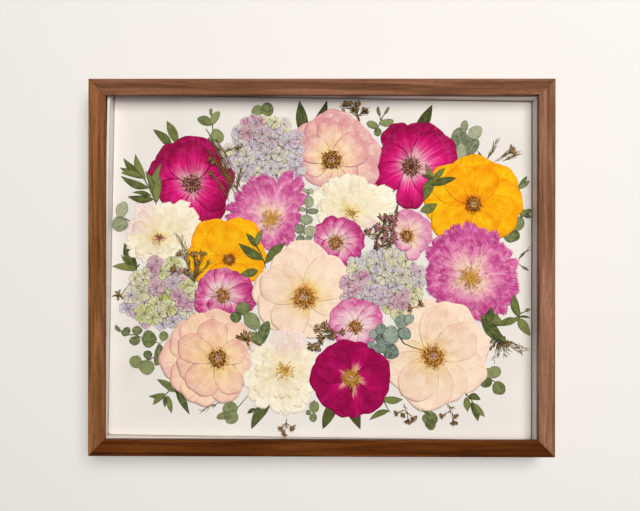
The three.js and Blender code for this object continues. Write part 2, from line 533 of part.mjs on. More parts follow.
function rose({ heart, core, petals }) {
  const directions = directionsFor(petals);
  const ring = (radiusOf, thicknessOf) => directions.map((angle) => {
    const r = radiusOf(angle);
    return [heart[0] + r * Math.cos(angle), heart[1] + r * Math.sin(angle), thicknessOf(angle, r)];
  });
  const reachAt = (angle) => Math.max(core + 6, ...petals.map((petal) => petalReach(petal, angle)));
  const topPetal = (angle, r) => petals.findLastIndex((petal) => petalReach(petal, angle) >= r - 2);
  const petalThickness = (angle, r) =>
    PETAL + (PETAL_STEP * Math.max(0, topPetal(angle, r))) / petals.length;
  const rings = [ring(() => core, () => HEART_RISE), ring(reachAt, petalThickness)];
  return ringedSheet(heart, HEART_RISE + 0.2, rings);
}

// The reach in a direction, read between the stated ones.
function reachBetween(stated, angle) {
  const degrees = THREE.MathUtils.euclideanModulo(THREE.MathUtils.radToDeg(angle), 360);
  const after = stated.findIndex(([direction]) => direction > degrees);
  const [fromAt, fromReach] = stated[(after - 1 + stated.length) % stated.length] ?? stated.at(-1);
  const [toAt, toReach] = stated[Math.max(after, 0)];
  const span = THREE.MathUtils.euclideanModulo(toAt - fromAt, 360) || 360;
  const share = THREE.MathUtils.euclideanModulo(degrees - fromAt, 360) / span;
  return fromReach + (toReach - fromReach) * share;
}

// A flower of many petals: each ring is [share of the reach, thickness on a rib, thickness between ribs].
function manyPetalled({ heart, reach }, turns, notch, heartThickness, ringShares) {
  const rings = ringShares.map(([share, high, low], k) => Array.from({ length: turns }, (_, j) => {
    const angle = (j / turns) * 2 * Math.PI;
    const rib = (j + k) % 2 === 0;
    const outer = k === ringShares.length - 1 && !rib ? notch : 1;
    const r = reachBetween(reach, angle) * share * outer;
    return [heart[0] + r * Math.cos(angle), heart[1] + r * Math.sin(angle), rib ? high : low];
  }));
  return ringedSheet(heart, heartThickness, rings);
}

const carnation = (flower) =>
  manyPetalled(flower, 28, 0.92, 1.2, [[0.3, 1.2, 0.8], [1, PETAL + 0.3, PETAL]]);
const hydrangea = (flower) => manyPetalled(flower, 24, 0.92, 1.4,
  [[0.55, PETAL + FLORET_RISE, PETAL], [1, PETAL + 0.3, PETAL]]);

// ---- Sprigs ----
// Outlines as [x, z] points.
function leafOutline([x0, z0, x1, z1, width], pointed) {
  const [dx, dz] = [x1 - x0, z1 - z0];
  const length = Math.hypot(dx, dz);
  const shares = pointed ? [0, 0.3, 0.7, 1] : [0, 0.25, 0.75, 1];
  const half = (share) => (width / 2) * Math.sin(Math.PI * share) ** (pointed ? 0.8 : 0.2);
  const side = (sign, list) => list.map((share) => [x0 + dx * share - (sign * dz * half(share)) / length,
    z0 + dz * share + (sign * dx * half(share)) / length]);
  return [...side(-1, shares), ...side(1, shares.slice(1, -1).reverse())];
}

// One strip along a line of points, mitred where it turns.
function stemOutline(points) {
  const line = points.map(([x, z]) => new THREE.Vector2(x, z));
  const offsets = line.map((point, i) => {
    const before = line[Math.max(i - 1, 0)];
    const after = line[Math.min(i + 1, line.length - 1)];
    return after.clone().sub(before).setLength(TWIG / 2).rotateAround(new THREE.Vector2(), Math.PI / 2);
  });
  const side = (sign) => line.map((point, i) => point.clone().addScaledVector(offsets[i], sign).toArray());
  return [...side(-1), ...side(1).reverse()];
}

function budOutline([x, z, across]) {
  return Array.from({ length: 6 }, (_, i) => {
    const angle = (i / 6) * 2 * Math.PI;
    return [x + (across / 2) * Math.cos(angle), z + (across / 2) * Math.sin(angle)];
  });
}

// Leaves, stems and buds fused into one piece, flat on the highest thing below any of them.
function sprig({ leaves = [], stems = [], buds = [] }, pointed) {
  const outlines = [...leaves.map((leaf) => leafOutline(leaf, pointed)), ...stems.map(stemOutline),
    ...buds.map(budOutline)];
  const fans = outlines.flatMap((outline) => {
    const corners = outline.map(([x, z]) => new THREE.Vector2(x, z));
    return THREE.ShapeUtils.triangulateShape(corners, []).map((face) => face.map((i) => outline[i]));
  });
  const under = Math.max(...fans.map((fan) => highestUnder(fan.map((corner) => [...corner, 0]))));
  const top = under + GAP + LEAF;
  const solids = outlines.map((outline) => toManifold(plate(outline, boardFront - under - GAP, LEAF)));
  for (const fan of fans) lay(fan.map((corner) => [...corner, top]));
  return fromManifold(solids.reduce((whole, one) => whole.add(one)));
}

function layPressedPieces() {
  for (const name of LAYING_ORDER) {
    const geometry = ROSES[name] ? rose(ROSES[name])
      : CARNATIONS[name] ? carnation(CARNATIONS[name])
      : HYDRANGEAS[name] ? hydrangea(HYDRANGEAS[name])
      : sprig(EUCALYPTUS[name] ?? RUSCUS[name] ?? WAXFLOWERS[name], Boolean(RUSCUS[name]));
    add(name, geometry, finishOf(name));
  }
}

addRails();
addInside();
addBack();
layPressedPieces();

export default part;
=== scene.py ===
# %% [markdown]
# # A pressed flower picture in a walnut frame
# Real roses, carnations, hydrangeas and leaf sprigs are dried flat between papers, then laid over each
# other on a white board and closed behind glass. The frame's solids are loaded first, and the flowers are
# laid on its board.

# %% Load the frame
import bpy
import numpy as np
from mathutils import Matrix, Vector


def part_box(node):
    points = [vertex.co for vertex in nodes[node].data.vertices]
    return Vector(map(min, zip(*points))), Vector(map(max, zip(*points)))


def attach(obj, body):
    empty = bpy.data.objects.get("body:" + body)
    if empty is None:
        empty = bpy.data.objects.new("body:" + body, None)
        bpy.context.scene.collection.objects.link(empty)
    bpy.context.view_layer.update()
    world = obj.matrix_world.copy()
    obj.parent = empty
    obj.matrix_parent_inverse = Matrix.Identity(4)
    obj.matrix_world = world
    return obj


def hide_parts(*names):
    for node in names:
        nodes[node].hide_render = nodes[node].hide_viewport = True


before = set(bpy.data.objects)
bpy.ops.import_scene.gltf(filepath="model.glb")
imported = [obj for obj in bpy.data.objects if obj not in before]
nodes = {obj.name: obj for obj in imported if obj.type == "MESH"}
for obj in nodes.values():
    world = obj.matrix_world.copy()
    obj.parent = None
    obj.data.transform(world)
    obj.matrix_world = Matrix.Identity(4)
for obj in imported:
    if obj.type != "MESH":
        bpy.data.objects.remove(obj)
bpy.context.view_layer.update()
MM = 0.001
board_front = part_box("mount_board")[0][1]
rng = np.random.default_rng(7)
print(len(nodes), "solids, the board's front at y =", round(board_front / MM, 1), "mm")

# %% [markdown]
# ## One way to write a material
# A material is a small tree of nodes. One function adds a node with its settings and links, so each finish
# below reads from top to bottom. Most of them are a colour with thin coats over it, and one loop lays those.
# Colours are written as they are seen on a screen, and one function turns them to linear light.

# %% Colour and node helpers
def linear(colour):
    """An sRGB hex colour as linear red, green, blue and alpha: a share up to 0.04045 is divided by 12.92,
    and any other becomes ((share + 0.055) / 1.055)^2.4."""
    share = np.array([int(colour[i:i + 2], 16) for i in (1, 3, 5)]) / 255
    return (*np.where(share <= 0.04045, share / 12.92, ((share + 0.055) / 1.055) ** 2.4), 1.0)


def put(material, kind, inputs=None, stops=(), **settings):
    """Adds a node and gives its outputs. settings are the node's own properties, and inputs gives each of
    its sockets a value, a hex colour, or another node's socket to link it to. stops are (place, hex colour)
    for a colour ramp."""
    node = material.node_tree.nodes.new("ShaderNode" + kind)
    for key, value in settings.items():
        setattr(node, key, value)
    for key, value in (inputs or {}).items():
        if isinstance(value, bpy.types.NodeSocket):
            material.node_tree.links.new(value, node.inputs[key])
        else:
            node.inputs[key].default_value = linear(value) if isinstance(value, str) else value
    if stops:
        line = node.color_ramp.elements
        while len(line) < len(stops):
            line.new(0.5)
        for element, (place, colour) in zip(line, stops):
            element.position = place
            element.color = linear(colour)
    return node.outputs


def start(name):
    """A material without any node yet."""
    material = bpy.data.materials.new(name)
    material.use_nodes = True
    material.node_tree.nodes.clear()
    return material


def surface(material, **inputs):
    """Ends a material: a Principled shader whose sockets take these values or links."""
    sockets = {key.replace("_", " "): value for key, value in inputs.items()}
    shader = put(material, "BsdfPrincipled", sockets)
    put(material, "OutputMaterial", {"Surface": shader["BSDF"]})
    return material


def coated(material, colour, coats):
    """A colour with thin coats over it. Each coat is its colour, how it blends, and one or more ranges of
    (value, low, high, first, last): a range gives first where its value is low and last where it is high,
    with a straight line between, and the coat's strength is the product of them."""
    for tone, blend, *ranges in coats:
        strength = 1.0
        for value, low, high, first, last in ranges:
            inputs = {"Value": value, "From Min": low, "From Max": high, "To Min": first, "To Max": last}
            share = put(material, "MapRange", inputs)["Result"]
            strength = put(material, "Math", {0: strength, 1: share}, operation="MULTIPLY")["Value"]
        mixed = {0: strength, 6: colour, 7: tone}  # the sockets that mix colours
        colour = put(material, "Mix", mixed, data_type="RGBA", blend_type=blend)[2]
    return colour


def total(material, terms, more=0.0):
    """The sum of value x weight over the terms, (value, weight), and of more."""
    for value, weight in terms:
        more = put(material, "Math", {0: value, 1: weight, 2: more}, operation="MULTIPLY_ADD")["Value"]
    return more


print("white is", linear("#ffffff")[:3], "in linear light")

# %% [markdown]
# ## Walnut
# The moulding is American walnut with a matte oil finish: brown, with darker growth bands a few millimetres
# wide and fine open pores, under half a millimetre wide and about a centimetre long. A picture of wood would
# need a file and would repeat, so the pattern is noise in the object's own coordinates, stretched along the
# rail. The grain then runs the right way on each piece and is cut off at the mitres as real wood is.

# %% Walnut for the four rails
BAND_PLACES = (0.25, 0.45, 0.58, 0.75)  # where each tone lies in the noise of the bands


def walnut(name, along, tones):
    """Oiled walnut whose grain runs along one axis (0 is X, 2 is Z), in four tones from the darkest on."""
    m = start(name)
    place = put(m, "TexCoord")["Object"]

    def grain(length_mm, width_mm, **inputs):
        """Noise whose cells are long along the rail and narrow across it."""
        scale = [1 / (width_mm * MM)] * 3
        scale[along] = 1 / (length_mm * MM)
        stretched = put(m, "Mapping", {"Vector": place, "Scale": scale})["Vector"]
        return put(m, "TexNoise", {"Vector": stretched, "Scale": 1.0, **inputs})["Fac"]

    bands = grain(160, 7, Detail=4.0, Roughness=0.6, Distortion=0.6)
    fibres = grain(22, 0.9, Detail=3.0, Roughness=0.7)
    pores = {"Value": grain(9, 0.45, Detail=1.0), "From Min": 0.62, "From Max": 0.72}
    pores = put(m, "MapRange", pores)["Result"]
    wood = put(m, "ValToRGB", {"Fac": bands}, list(zip(BAND_PLACES, tones)))["Color"]
    fibre_tone = put(m, "ValToRGB", {"Fac": fibres}, [(0.3, "#a8a09a"), (0.7, "#ffffff")])["Color"]
    wood = put(m, "Mix", {0: 0.55, 6: wood, 7: fibre_tone}, data_type="RGBA", blend_type="MULTIPLY")[2]
    wood = put(m, "Mix", {0: pores, 6: wood, 7: tones[0]}, data_type="RGBA")[2]
    height = put(m, "Math", {0: fibres, 1: pores}, operation="SUBTRACT")["Value"]
    relief = put(m, "Bump", {"Height": height, "Strength": 0.25, "Distance": 0.1 * MM})["Normal"]
    return surface(m, Base_Color=wood, Roughness=0.5, Specular_IOR_Level=0.3, Normal=relief)


# Each rail's four tones carry painted light as well as the wood's colour: they are painted lighter or darker
# for how the light from the upper right falls on that rail, so the right rail is lightest and the bottom rail
# darkest.
RAILS_WITH_PAINTED_LIGHT = {  # the axis of the grain, and four tones from the darkest to the lightest
    "rail_top": (0, ("#543321", "#7d5239", "#96664c", "#ad7c63")),
    "rail_bottom": (0, ("#321605", "#532a0a", "#6c3913", "#834d21")),
    "rail_left": (2, ("#532c18", "#7a4b28", "#956139", "#a8744a")),
    "rail_right": (2, ("#5e3c2b", "#885c43", "#a2745a", "#b78a71")),
}
for rail, (along, tones) in RAILS_WITH_PAINTED_LIGHT.items():
    nodes[rail].data.materials[0] = walnut("walnut_" + rail, along, tones)
print(len(RAILS_WITH_PAINTED_LIGHT), "rails in walnut")

# %% [markdown]
# ## Board, spacers, backing and hanger
# Foam board and the strips cut from it are white matte paper with a faint tooth. Behind them are hardboard
# and a sheet of brown kraft paper, whose fibres show as small flecks. The sawtooth hanger is zinc-plated
# steel strip, duller in some spots than in others. One function makes every paper, because only the colours
# and the size of the flecks differ.

# %% Paper, card and steel
CLOUD_MM = 40  # size of the soft patches in paper
SPANGLE_MM = 1.5  # and of the zinc's crystals


def paper(name, colour, darker, fleck_mm, share):
    """Matte paper: a colour mottled up to a share of the way to a darker one, with flecks of one size."""
    m = start(name)
    place = put(m, "TexCoord")["Object"]
    cloud = put(m, "TexNoise", {"Vector": place, "Scale": 1 / (CLOUD_MM * MM), "Detail": 2.0})["Fac"]
    fleck = put(m, "TexNoise", {"Vector": place, "Scale": 1 / (fleck_mm * MM), "Detail": 3.0})["Fac"]
    both = put(m, "Math", {0: cloud, 1: fleck}, operation="MULTIPLY")["Value"]
    tint = coated(m, colour, [(darker, "MIX", (both, 0.15, 0.4, 0.0, share))])
    relief = put(m, "Bump", {"Height": fleck, "Strength": 0.2, "Distance": 0.05 * MM})["Normal"]
    return surface(m, Base_Color=tint, Roughness=0.9, Normal=relief)


foam_board = paper("foam_board_paper", "#f1e7e1", "#e2d7cf", 1.2, 0.5)
nodes["mount_board"].data.materials[0] = foam_board
for side in ("top", "bottom", "left", "right"):
    nodes["spacer_" + side].data.materials[0] = foam_board
nodes["back_board"].data.materials[0] = paper("hardboard", "#6f4c33", "#4a3020", 1.0, 0.8)
nodes["dust_cover"].data.materials[0] = paper("kraft_paper", "#bea482", "#a0886a", 2.0, 0.4)

zinc = start("zinc_plated_steel")
place = put(zinc, "TexCoord")["Object"]
crystals = put(zinc, "TexNoise", {"Vector": place, "Scale": 1 / (SPANGLE_MM * MM)})["Fac"]
dullness = put(zinc, "MapRange", {"Value": crystals, "To Min": 0.55, "To Max": 0.7})["Result"]
surface(zinc, Base_Color="#a3a19b", Metallic=1.0, Roughness=dullness)
nodes["sawtooth_hanger"].data.materials[0] = zinc
print("board, spacers, backing and hanger finished")

# %% [markdown]
# ## Glass
# Clear picture glass, 2 mm thick: plain transmission, with a faint green in it. The pane casts no shadow and
# is left out of light that has bounced off the flowers, because the renderer would otherwise treat clear
# glass as a blind to both.

# %% Picture glass
glass = start("picture_glass")
surface(glass, Base_Color="#fbfffd", Roughness=0.0, IOR=1.45, Transmission_Weight=1.0)
nodes["glass_pane"].data.materials[0] = glass
nodes["glass_pane"].visible_shadow = False
nodes["glass_pane"].visible_diffuse = False
print("glass in")

# %% [markdown]
# ## Laying flat things over each other
# A pressed petal is a thin sheet that follows whatever it lies on. It could be dropped as cloth, but dried
# petals are stiff, and hundreds of them would take long. So the board is kept as a map of heights, half a
# millimetre a cell. Each new sheet reads the map below it, widened and smoothed so that it bridges steps as
# paper does, and then writes its own top surface back. So each piece lies over the ones before it.

# %% The height map
CELL = 0.5
LEFT, LOW = -262.0, -214.0
ground = np.zeros((857, 1049))
cover = np.zeros_like(ground)  # how many layers of one flower lie on each cell


def slid(values, cells, how):
    """how (such as np.max or np.mean) of the values within so many cells, along one axis and then the
    other."""
    for axis in (0, 1):
        rim = [(cells, cells) if k == axis else (0, 0) for k in (0, 1)]
        padded = np.pad(values, rim, mode="edge")
        size = values.shape[axis]
        values = how([np.take(padded, range(s, s + size), axis) for s in range(2 * cells + 1)], axis=0)
    return values


def between(patch, column, row):
    """Values of a patch at fractional columns and rows, by straight lines between its cells."""
    i = np.clip(column.astype(int), 0, patch.shape[1] - 2)
    j = np.clip(row.astype(int), 0, patch.shape[0] - 2)
    s, t = column - i, row - j
    low = patch[j, i] * (1 - s) + patch[j, i + 1] * s
    high = patch[j + 1, i] * (1 - s) + patch[j + 1, i + 1] * s
    return low * (1 - t) + high * t


def window(x, z, pad):
    """The slices of the map that hold these points, with a margin of pad cells."""
    slices = []
    for values, low, count in ((z, LOW, ground.shape[0]), (x, LEFT, ground.shape[1])):
        first = (values.min() - low) / CELL - pad
        last = (values.max() - low) / CELL + pad + 2
        slices.append(slice(*np.clip([first, last], 0, count).astype(int)))
    return tuple(slices)


def read_map(source, x, z, cells, how=None):
    """The map at points x, z: first how over so many cells, if it is given, then the mean over as many."""
    rows, columns = window(x, z, cells + 3)
    patch = source[rows, columns]
    if how:
        patch = slid(patch, cells, how)
    patch = slid(patch, cells, np.mean)
    return between(patch, (x - LEFT) / CELL - columns.start, (z - LOW) / CELL - rows.start)


def highest(spot, cells):
    """The greatest height round one spot, (x, z), smoothed."""
    x, z = np.array(spot, float)[:, None, None]
    return read_map(ground, x, z, cells, np.max).item()


def finer(grid, times):
    """A grid with more points along both directions, on straight lines between its own."""
    for axis in (0, 1):
        at = np.linspace(0, grid.shape[axis] - 1, (grid.shape[axis] - 1) * times + 1)
        i = np.minimum(at.astype(int), grid.shape[axis] - 2)
        share = (at - i)[:, None] if axis == 0 else (at - i)[None, :]
        grid = np.take(grid, i, axis) * (1 - share) + np.take(grid, i + 1, axis) * share
    return grid


def cell_of(x, z):
    """Row and column of the cell that holds each point."""
    return np.rint((z - LOW) / CELL).astype(int), np.rint((x - LEFT) / CELL).astype(int)


def write_map(x, z, top):
    """Raises the map to the top of a sheet given on a grid of points, and counts it as one more layer."""
    step = np.hypot(np.diff(x, axis=1), np.diff(z, axis=1)).max(initial=0)
    step = max(step, np.hypot(np.diff(x, axis=0), np.diff(z, axis=0)).max(initial=0))
    times = int(np.ceil(step / (0.7 * CELL))) + 1
    at = cell_of(finer(x, times), finer(z, times))
    np.maximum.at(ground, at, finer(top, times))
    touched = np.zeros_like(ground, dtype=bool)
    touched[at] = True
    cover[touched] += 1


print("map of", ground.shape[1], "by", ground.shape[0], "cells of", CELL, "mm")

# %% [markdown]
# ## Meshes from arrays
# Every petal, leaf and stem is computed as whole arrays and gathered in a pile, and one mesh is made of each
# pile, because a flower is laid as one piece. Two attributes go with each point for the materials: place
# holds how far across and along the petal it is and how many millimetres from its edge, and sort holds a
# random number for the petal, the layers under it, and a spare.

# %% Gather sheets and rods in one mesh
CLEARANCE = 0.07  # between a sheet and what it lies on, mm
FAR_FROM_EDGE = 9.0  # said of rods, which have no rim


class Pile:
    """Points, quads, their finish and their attributes, for one flower or sprig."""

    def __init__(self):
        self.points, self.quads, self.smooth = [], [], []
        self.finish, self.place, self.sort = [], [], []
        self.count = 0

    def add(self, points, quads, smooth, finish, place, sort):
        """Adds points (x, height above the board, z in mm), their quads, and the rest for each of them."""
        self.points.append(points)
        self.quads.append(quads + self.count)
        self.smooth.append(np.broadcast_to(smooth, len(quads)))
        self.finish.append(np.full(len(quads), finish))
        self.place.append(place)
        self.sort.append(sort)
        self.count += len(points)


def make(name, pile, finishes, node=None):
    """One object in metres from a pile. It rides on the frame, and stands for a solid if one has its form."""
    points = np.concatenate(pile.points)
    quads = np.concatenate(pile.quads)
    metres = np.stack([points[:, 0] * MM, board_front - points[:, 1] * MM, points[:, 2] * MM], -1)
    mesh = bpy.data.meshes.new(name)
    mesh.vertices.add(len(points))
    mesh.vertices.foreach_set("co", metres.astype(np.float32).ravel())
    mesh.loops.add(quads.size)
    mesh.loops.foreach_set("vertex_index", quads.astype(np.int32).ravel())
    mesh.polygons.add(len(quads))
    mesh.polygons.foreach_set("loop_start", np.arange(0, quads.size, 4, dtype=np.int32))
    mesh.polygons.foreach_set("use_smooth", np.concatenate(pile.smooth))
    mesh.polygons.foreach_set("material_index", np.concatenate(pile.finish).astype(np.int32))
    for key in ("place", "sort"):
        layer = mesh.attributes.new(key, "FLOAT_VECTOR", "POINT")
        layer.data.foreach_set("vector", np.concatenate(getattr(pile, key)).astype(np.float32).ravel())
    mesh.update(calc_edges=True)
    for material in finishes:
        mesh.materials.append(material)
    piece = bpy.data.objects.new(name, mesh)
    bpy.context.collection.objects.link(piece)
    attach(piece, "root")
    if node:
        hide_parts(node)
    return piece


def grid_quads(rows, columns):
    """Quads of a grid of points, each going across and then along."""
    index = np.arange(rows * columns).reshape(rows, columns)
    return np.stack([index[:-1, :-1], index[:-1, 1:], index[1:, 1:], index[1:, :-1]], -1).reshape(-1, 4)


def sheet(pile, x, z, folds, thick, across, along, rim, finish, random, spare=0.0, reach=3):
    """A closed thin sheet over a grid. Its underside = the map, the greatest within reach cells and then the
    mean, + CLEARANCE + folds. Its top = its underside + thick."""
    under = read_map(ground, x, z, reach, np.max) + CLEARANCE + folds
    layers = read_map(cover, x, z, 1)
    top = under + thick
    write_map(x, z, top)
    rows, columns = x.shape
    size = rows * columns
    front = np.stack([x, top, z], -1).reshape(-1, 3)
    back = np.stack([x, under, z], -1).reshape(-1, 3)
    faces = grid_quads(rows, columns)
    index = np.arange(size).reshape(rows, columns)
    edge = np.concatenate([index[0, :-1], index[:-1, -1], index[-1, :0:-1], index[:0:-1, 0]])
    after = np.roll(edge, -1)
    wall = np.stack([after, edge, edge + size, after + size], -1)
    quads = np.concatenate([faces, faces[:, ::-1] + size, wall])
    smooth = np.concatenate([np.ones(2 * len(faces), bool), np.zeros(len(wall), bool)])
    place = np.stack([across, along, rim], -1).reshape(-1, 3)
    sort = np.stack([np.full(size, random), layers.ravel(), np.full(size, spare)], -1)
    points = np.concatenate([front, back])
    pile.add(points, quads, smooth, finish, np.tile(place, (2, 1)), np.tile(sort, (2, 1)))


def rods(pile, paths, radii, sides=4, finish=1, flat=1.0):
    """Rods along many paths at once: paths is (rods, points, 3) as x, height, z, and radii (rods, points).
    Each ring is a circle about its point, in the plane of the height and of the level line square to the
    path. flat squeezes it in height."""
    tangent = np.gradient(paths, axis=1)
    level = np.stack([tangent[..., 2], np.zeros_like(tangent[..., 0]), -tangent[..., 0]], -1)
    level /= np.maximum(np.linalg.norm(level, axis=-1, keepdims=True), 1e-9)
    turn = np.linspace(0, 2 * np.pi, sides, endpoint=False)
    ring = level[:, :, None, :] * np.cos(turn)[:, None]
    ring = ring + np.array([0, flat, 0]) * np.sin(turn)[:, None]
    points = paths[:, :, None, :] + ring * radii[:, :, None, None]
    count, length = paths.shape[:2]
    index = np.arange(length * sides).reshape(length, sides)
    nxt = np.roll(index, -1, axis=1)
    body = np.stack([index[:-1], index[1:], nxt[1:], nxt[:-1]], -1).reshape(-1, 4)
    fan = np.array([[0, k + 1, k + 2, k + 3] for k in range(0, sides - 2, 2)])
    one = np.concatenate([body, fan, fan[:, ::-1] + (length - 1) * sides])
    quads = (one[None] + (np.arange(count) * length * sides)[:, None, None]).reshape(-1, 4)
    lots = rng.random(count)
    along = np.broadcast_to(np.linspace(0, 1, length)[None, :, None], (count, length, sides))
    place = np.stack([np.zeros_like(along), along, np.full_like(along, FAR_FROM_EDGE)], -1).reshape(-1, 3)
    sort = np.stack([np.repeat(lots, length * sides), np.zeros(along.size), np.zeros(along.size)], -1)
    pile.add(points.reshape(-1, 3), quads, True, finish, place, sort)


print("a sheet of 3 by 3 points has", len(grid_quads(3, 3)), "quads on each side")

# %% [markdown]
# ## Dried petals
# A pressed petal is a matte film, a fifth of a millimetre thick. Its colour is deepest where the pigment
# gathers, at the rim and along fine veins that fan out from the claw, and pales towards the heart. Where two
# petals lie over each other the colour doubles. The material reads all of that from each petal's own
# attributes, so the pattern follows the petal and no two petals are alike.

# %% Petal finish
PINK_TINT = "#e6b4d2"
OWN_SHIFT, BROAD_SHIFT = 0.16, 0.4  # how far a petal's stops move as a whole, and in its broad streaks


def carried(material):
    """The numbers that each point carries: how far across and along it is and how many mm from the rim, and
    a random number, the layers under it and a spare."""
    values = []
    for name in ("place", "sort"):
        vector = put(material, "Attribute", attribute_name=name)["Vector"]
        values += put(material, "SeparateXYZ", {"Vector": vector}).values()
    return values


def pattern(material, x, y, z, **inputs):
    """Noise with cells of one unit, at the point x, y, z."""
    vector = put(material, "CombineXYZ", {"X": x, "Y": y, "Z": z})["Vector"]
    return put(material, "TexNoise", {"Vector": vector, "Scale": 1.0, **inputs})["Fac"]


def patches(material, cell_mm, **inputs):
    """Noise with cells of so many mm, in the object's own coordinates."""
    place = put(material, "TexCoord")["Object"]
    return put(material, "TexNoise", {"Vector": place, "Scale": 1 / (cell_mm * MM), **inputs})["Fac"]


def matte(material, colour, height, strength, depth_mm, **inputs):
    """Ends a dried part's material: its colour, and creases up to so many mm deep where the height
    changes."""
    crease = {"Height": height, "Strength": strength, "Distance": depth_mm * MM}
    return surface(material, Base_Color=colour, Normal=put(material, "Bump", crease)["Normal"], **inputs)


def petal_finish(name, stops, rim, streak, vein, double, mottle, rayed, fan=7.0, pointed=0.0, patch_mm=9.0):
    """Matte petal: colours along it (stops), then streaks and veins that fan out, doubled layers and a rim.
    rim is a colour and how many mm it reaches in. streak, vein and double are a colour and a strength from 0
    to 1. mottle and rayed, how far the stops run out in rays, are strengths too. fan is how many rays there
    are, and pointed narrows the first stops. A petal whose spare value is over 0 is tinted by that much."""
    m = start(name)
    across, along, edge, random, layers, spare = carried(m)
    lot = total(m, [(random, 37.0)])

    def fanned(wide, long, detail):
        """Noise with so many cells in half the petal's width and in its length, different on each petal."""
        u, v = total(m, [(across, wide)]), total(m, [(along, long)])
        return pattern(m, u, v, lot, Detail=detail, Roughness=0.6)

    broad = fanned(fan * 0.35, 1.4, 3.0)
    fine = fanned(fan * 2.2, 1.6, 2.0)
    cloud = patches(m, patch_mm, Detail=4.0, Roughness=0.6)
    off = put(m, "Math", {0: across, 1: 2.0}, operation="POWER")["Value"]
    shifts = [(along, 1.0), (random, OWN_SHIFT), (off, pointed), (broad, BROAD_SHIFT), (fine, -rayed)]
    out = total(m, shifts, (rayed - BROAD_SHIFT - OWN_SHIFT) / 2)
    colour = put(m, "ValToRGB", {"Fac": out}, stops)["Color"]
    colour = coated(m, colour, [
        (streak[0], "MIX", (fine, 0.52, 0.68, 0.0, streak[1]), (along, 0.0, 0.75, 1.0, 0.15)),
        (vein[0], "MIX", (fine, 0.46, 0.34, 0.0, vein[1])),
        (vein[0], "MIX", (cloud, 0.48, 0.68, 0.0, mottle)),
        (streak[0], "MIX", (cloud, 0.5, 0.32, 0.0, mottle)),
        (PINK_TINT, "MIX", (spare, 0.0, 1.0, 0.0, 1.0), (along, 0.3, 0.9, 0.0, 1.0)),
        (double[0], "MULTIPLY", (layers, 0.0, 3.0, 0.0, 2 * double[1]), (cloud, 0.3, 0.6, 0.5, 1.0))])
    ragged = total(m, [(cloud, rim[1] * 1.6)], -rim[1] * 0.4)
    ends = {"Value": edge, "From Min": 0.0, "From Max": ragged, "To Min": 1.0, "To Max": 0.0}
    at_rim = put(m, "MapRange", ends, interpolation_type="SMOOTHSTEP")["Result"]
    colour = put(m, "Mix", {0: at_rim, 6: colour, 7: rim[0]}, data_type="RGBA")[2]
    height = total(m, [(fine, 1.0)], cloud)
    return matte(m, colour, height, 0.35, 0.25, Roughness=0.8, Specular_IOR_Level=0.04)


def plain_finish(name, colour, second):
    """A dried part in two tones, mixed by a fine noise and by the random number of each small piece."""
    m = start(name)
    share = put(m, "Math", {0: carried(m)[3], 1: patches(m, 1.5)}, operation="MULTIPLY")["Value"]
    tone = coated(m, colour, [(second, "MIX", (share, 0.05, 0.5, 0.0, 1.0))])
    return surface(m, Base_Color=tone, Roughness=0.75, Specular_IOR_Level=0.3)


print("petals tinted, where they are, towards", PINK_TINT)

# %% [markdown]
# ### The shape of a petal
# A rose petal starts as a narrow claw, widens to its shoulder and ends in an arc. On a grid that runs across
# and along the petal this is two short formulas, and a little ripple in the arc keeps it from looking drawn.
# The heart of the flower is a seed head of short pegs with thin stamens round it.

# %% One petal, and the heart of a flower
ROSE_GRID = (23, 17)  # points across and along a petal
ROSETTE_GRID = (17, 13)
CARNATION_GRID = (61, 15)
SEPAL_GRID = (15, 9)
GOLDEN_TURN = 2.39996  # radians from one peg of a sunflower spiral to the next
RISE = 0.5  # how high stamens arch, mm


def petal(pile, heart, direction, reach, width, claw=0.2, teeth=0.0, notch=0.0, bend=0.0, grid=ROSE_GRID,
          inner=3.0, thick=0.18, pleat=0.12, ruffle=0.0, finish=0, spare=0.0, fullness=0.9, fringe=17):
    """Half width = width/2 x (claw + (1 - claw) sin(quarter turn x along^0.75)). The tip is an arc that
    starts where fullness x width/2 is left of the reach. It lies from inner to reach mm from the heart.
    teeth cuts points in the arc, closer for a high fringe, notch a dent in its middle, bend turns it
    sideways, and pleat and ruffle are the heights of its folds."""
    columns, rows = grid
    across = np.sin(np.pi / 2 * np.linspace(-1, 1, columns))
    across, along = np.meshgrid(across, np.linspace(0, 1, rows))
    wave = rng.uniform(0, 2 * np.pi, 5)
    shoulder = np.clip(1 - fullness * width / (2 * reach), 0.3, 0.85)
    arc = shoulder + (1 - shoulder) * np.sqrt(1 - 0.998 * across ** 2)
    arc *= 1 + 0.018 * np.sin(3.1 * across + wave[0]) + 0.014 * np.sin(7.3 * across + wave[1])
    arc *= 1 - notch * np.exp(-(across / 0.16) ** 2)
    uneven = 1.5 * np.sin(9 * across + wave[3])
    arc *= 1 - teeth * (0.5 + 0.5 * np.sin(fringe * across + wave[2] + uneven))
    spread = claw + (1 - claw) * np.sin(np.pi / 2 * along ** 0.75)
    spread *= 1 + 0.03 * np.sin(4 * along + wave[4])
    out = inner + (reach - inner) * along * arc
    side = across * spread * width / 2
    angle = np.radians(direction + bend * (out / reach) ** 2)
    x = heart[0] + out * np.cos(angle) + side * np.sin(angle)
    z = heart[1] + out * np.sin(angle) - side * np.cos(angle)
    rim = np.minimum((1 - np.abs(across)) * spread * width / 2, (1 - along) * reach * arc)
    folds = pleat * along * (1 - along) * (1 + np.sin(9 * across + 3 * along + wave[1]))
    folds += 0.5 * pleat * (1 + np.sin(5 * along + 4 * across * wave[2] / 6 + wave[3])) * along
    folds += ruffle * along ** 3 * (1 + np.sin(13 * across + 4 * along + wave[4]))
    sheet(pile, x, z, folds, thick, across, along, rim, finish, rng.random(), spare)


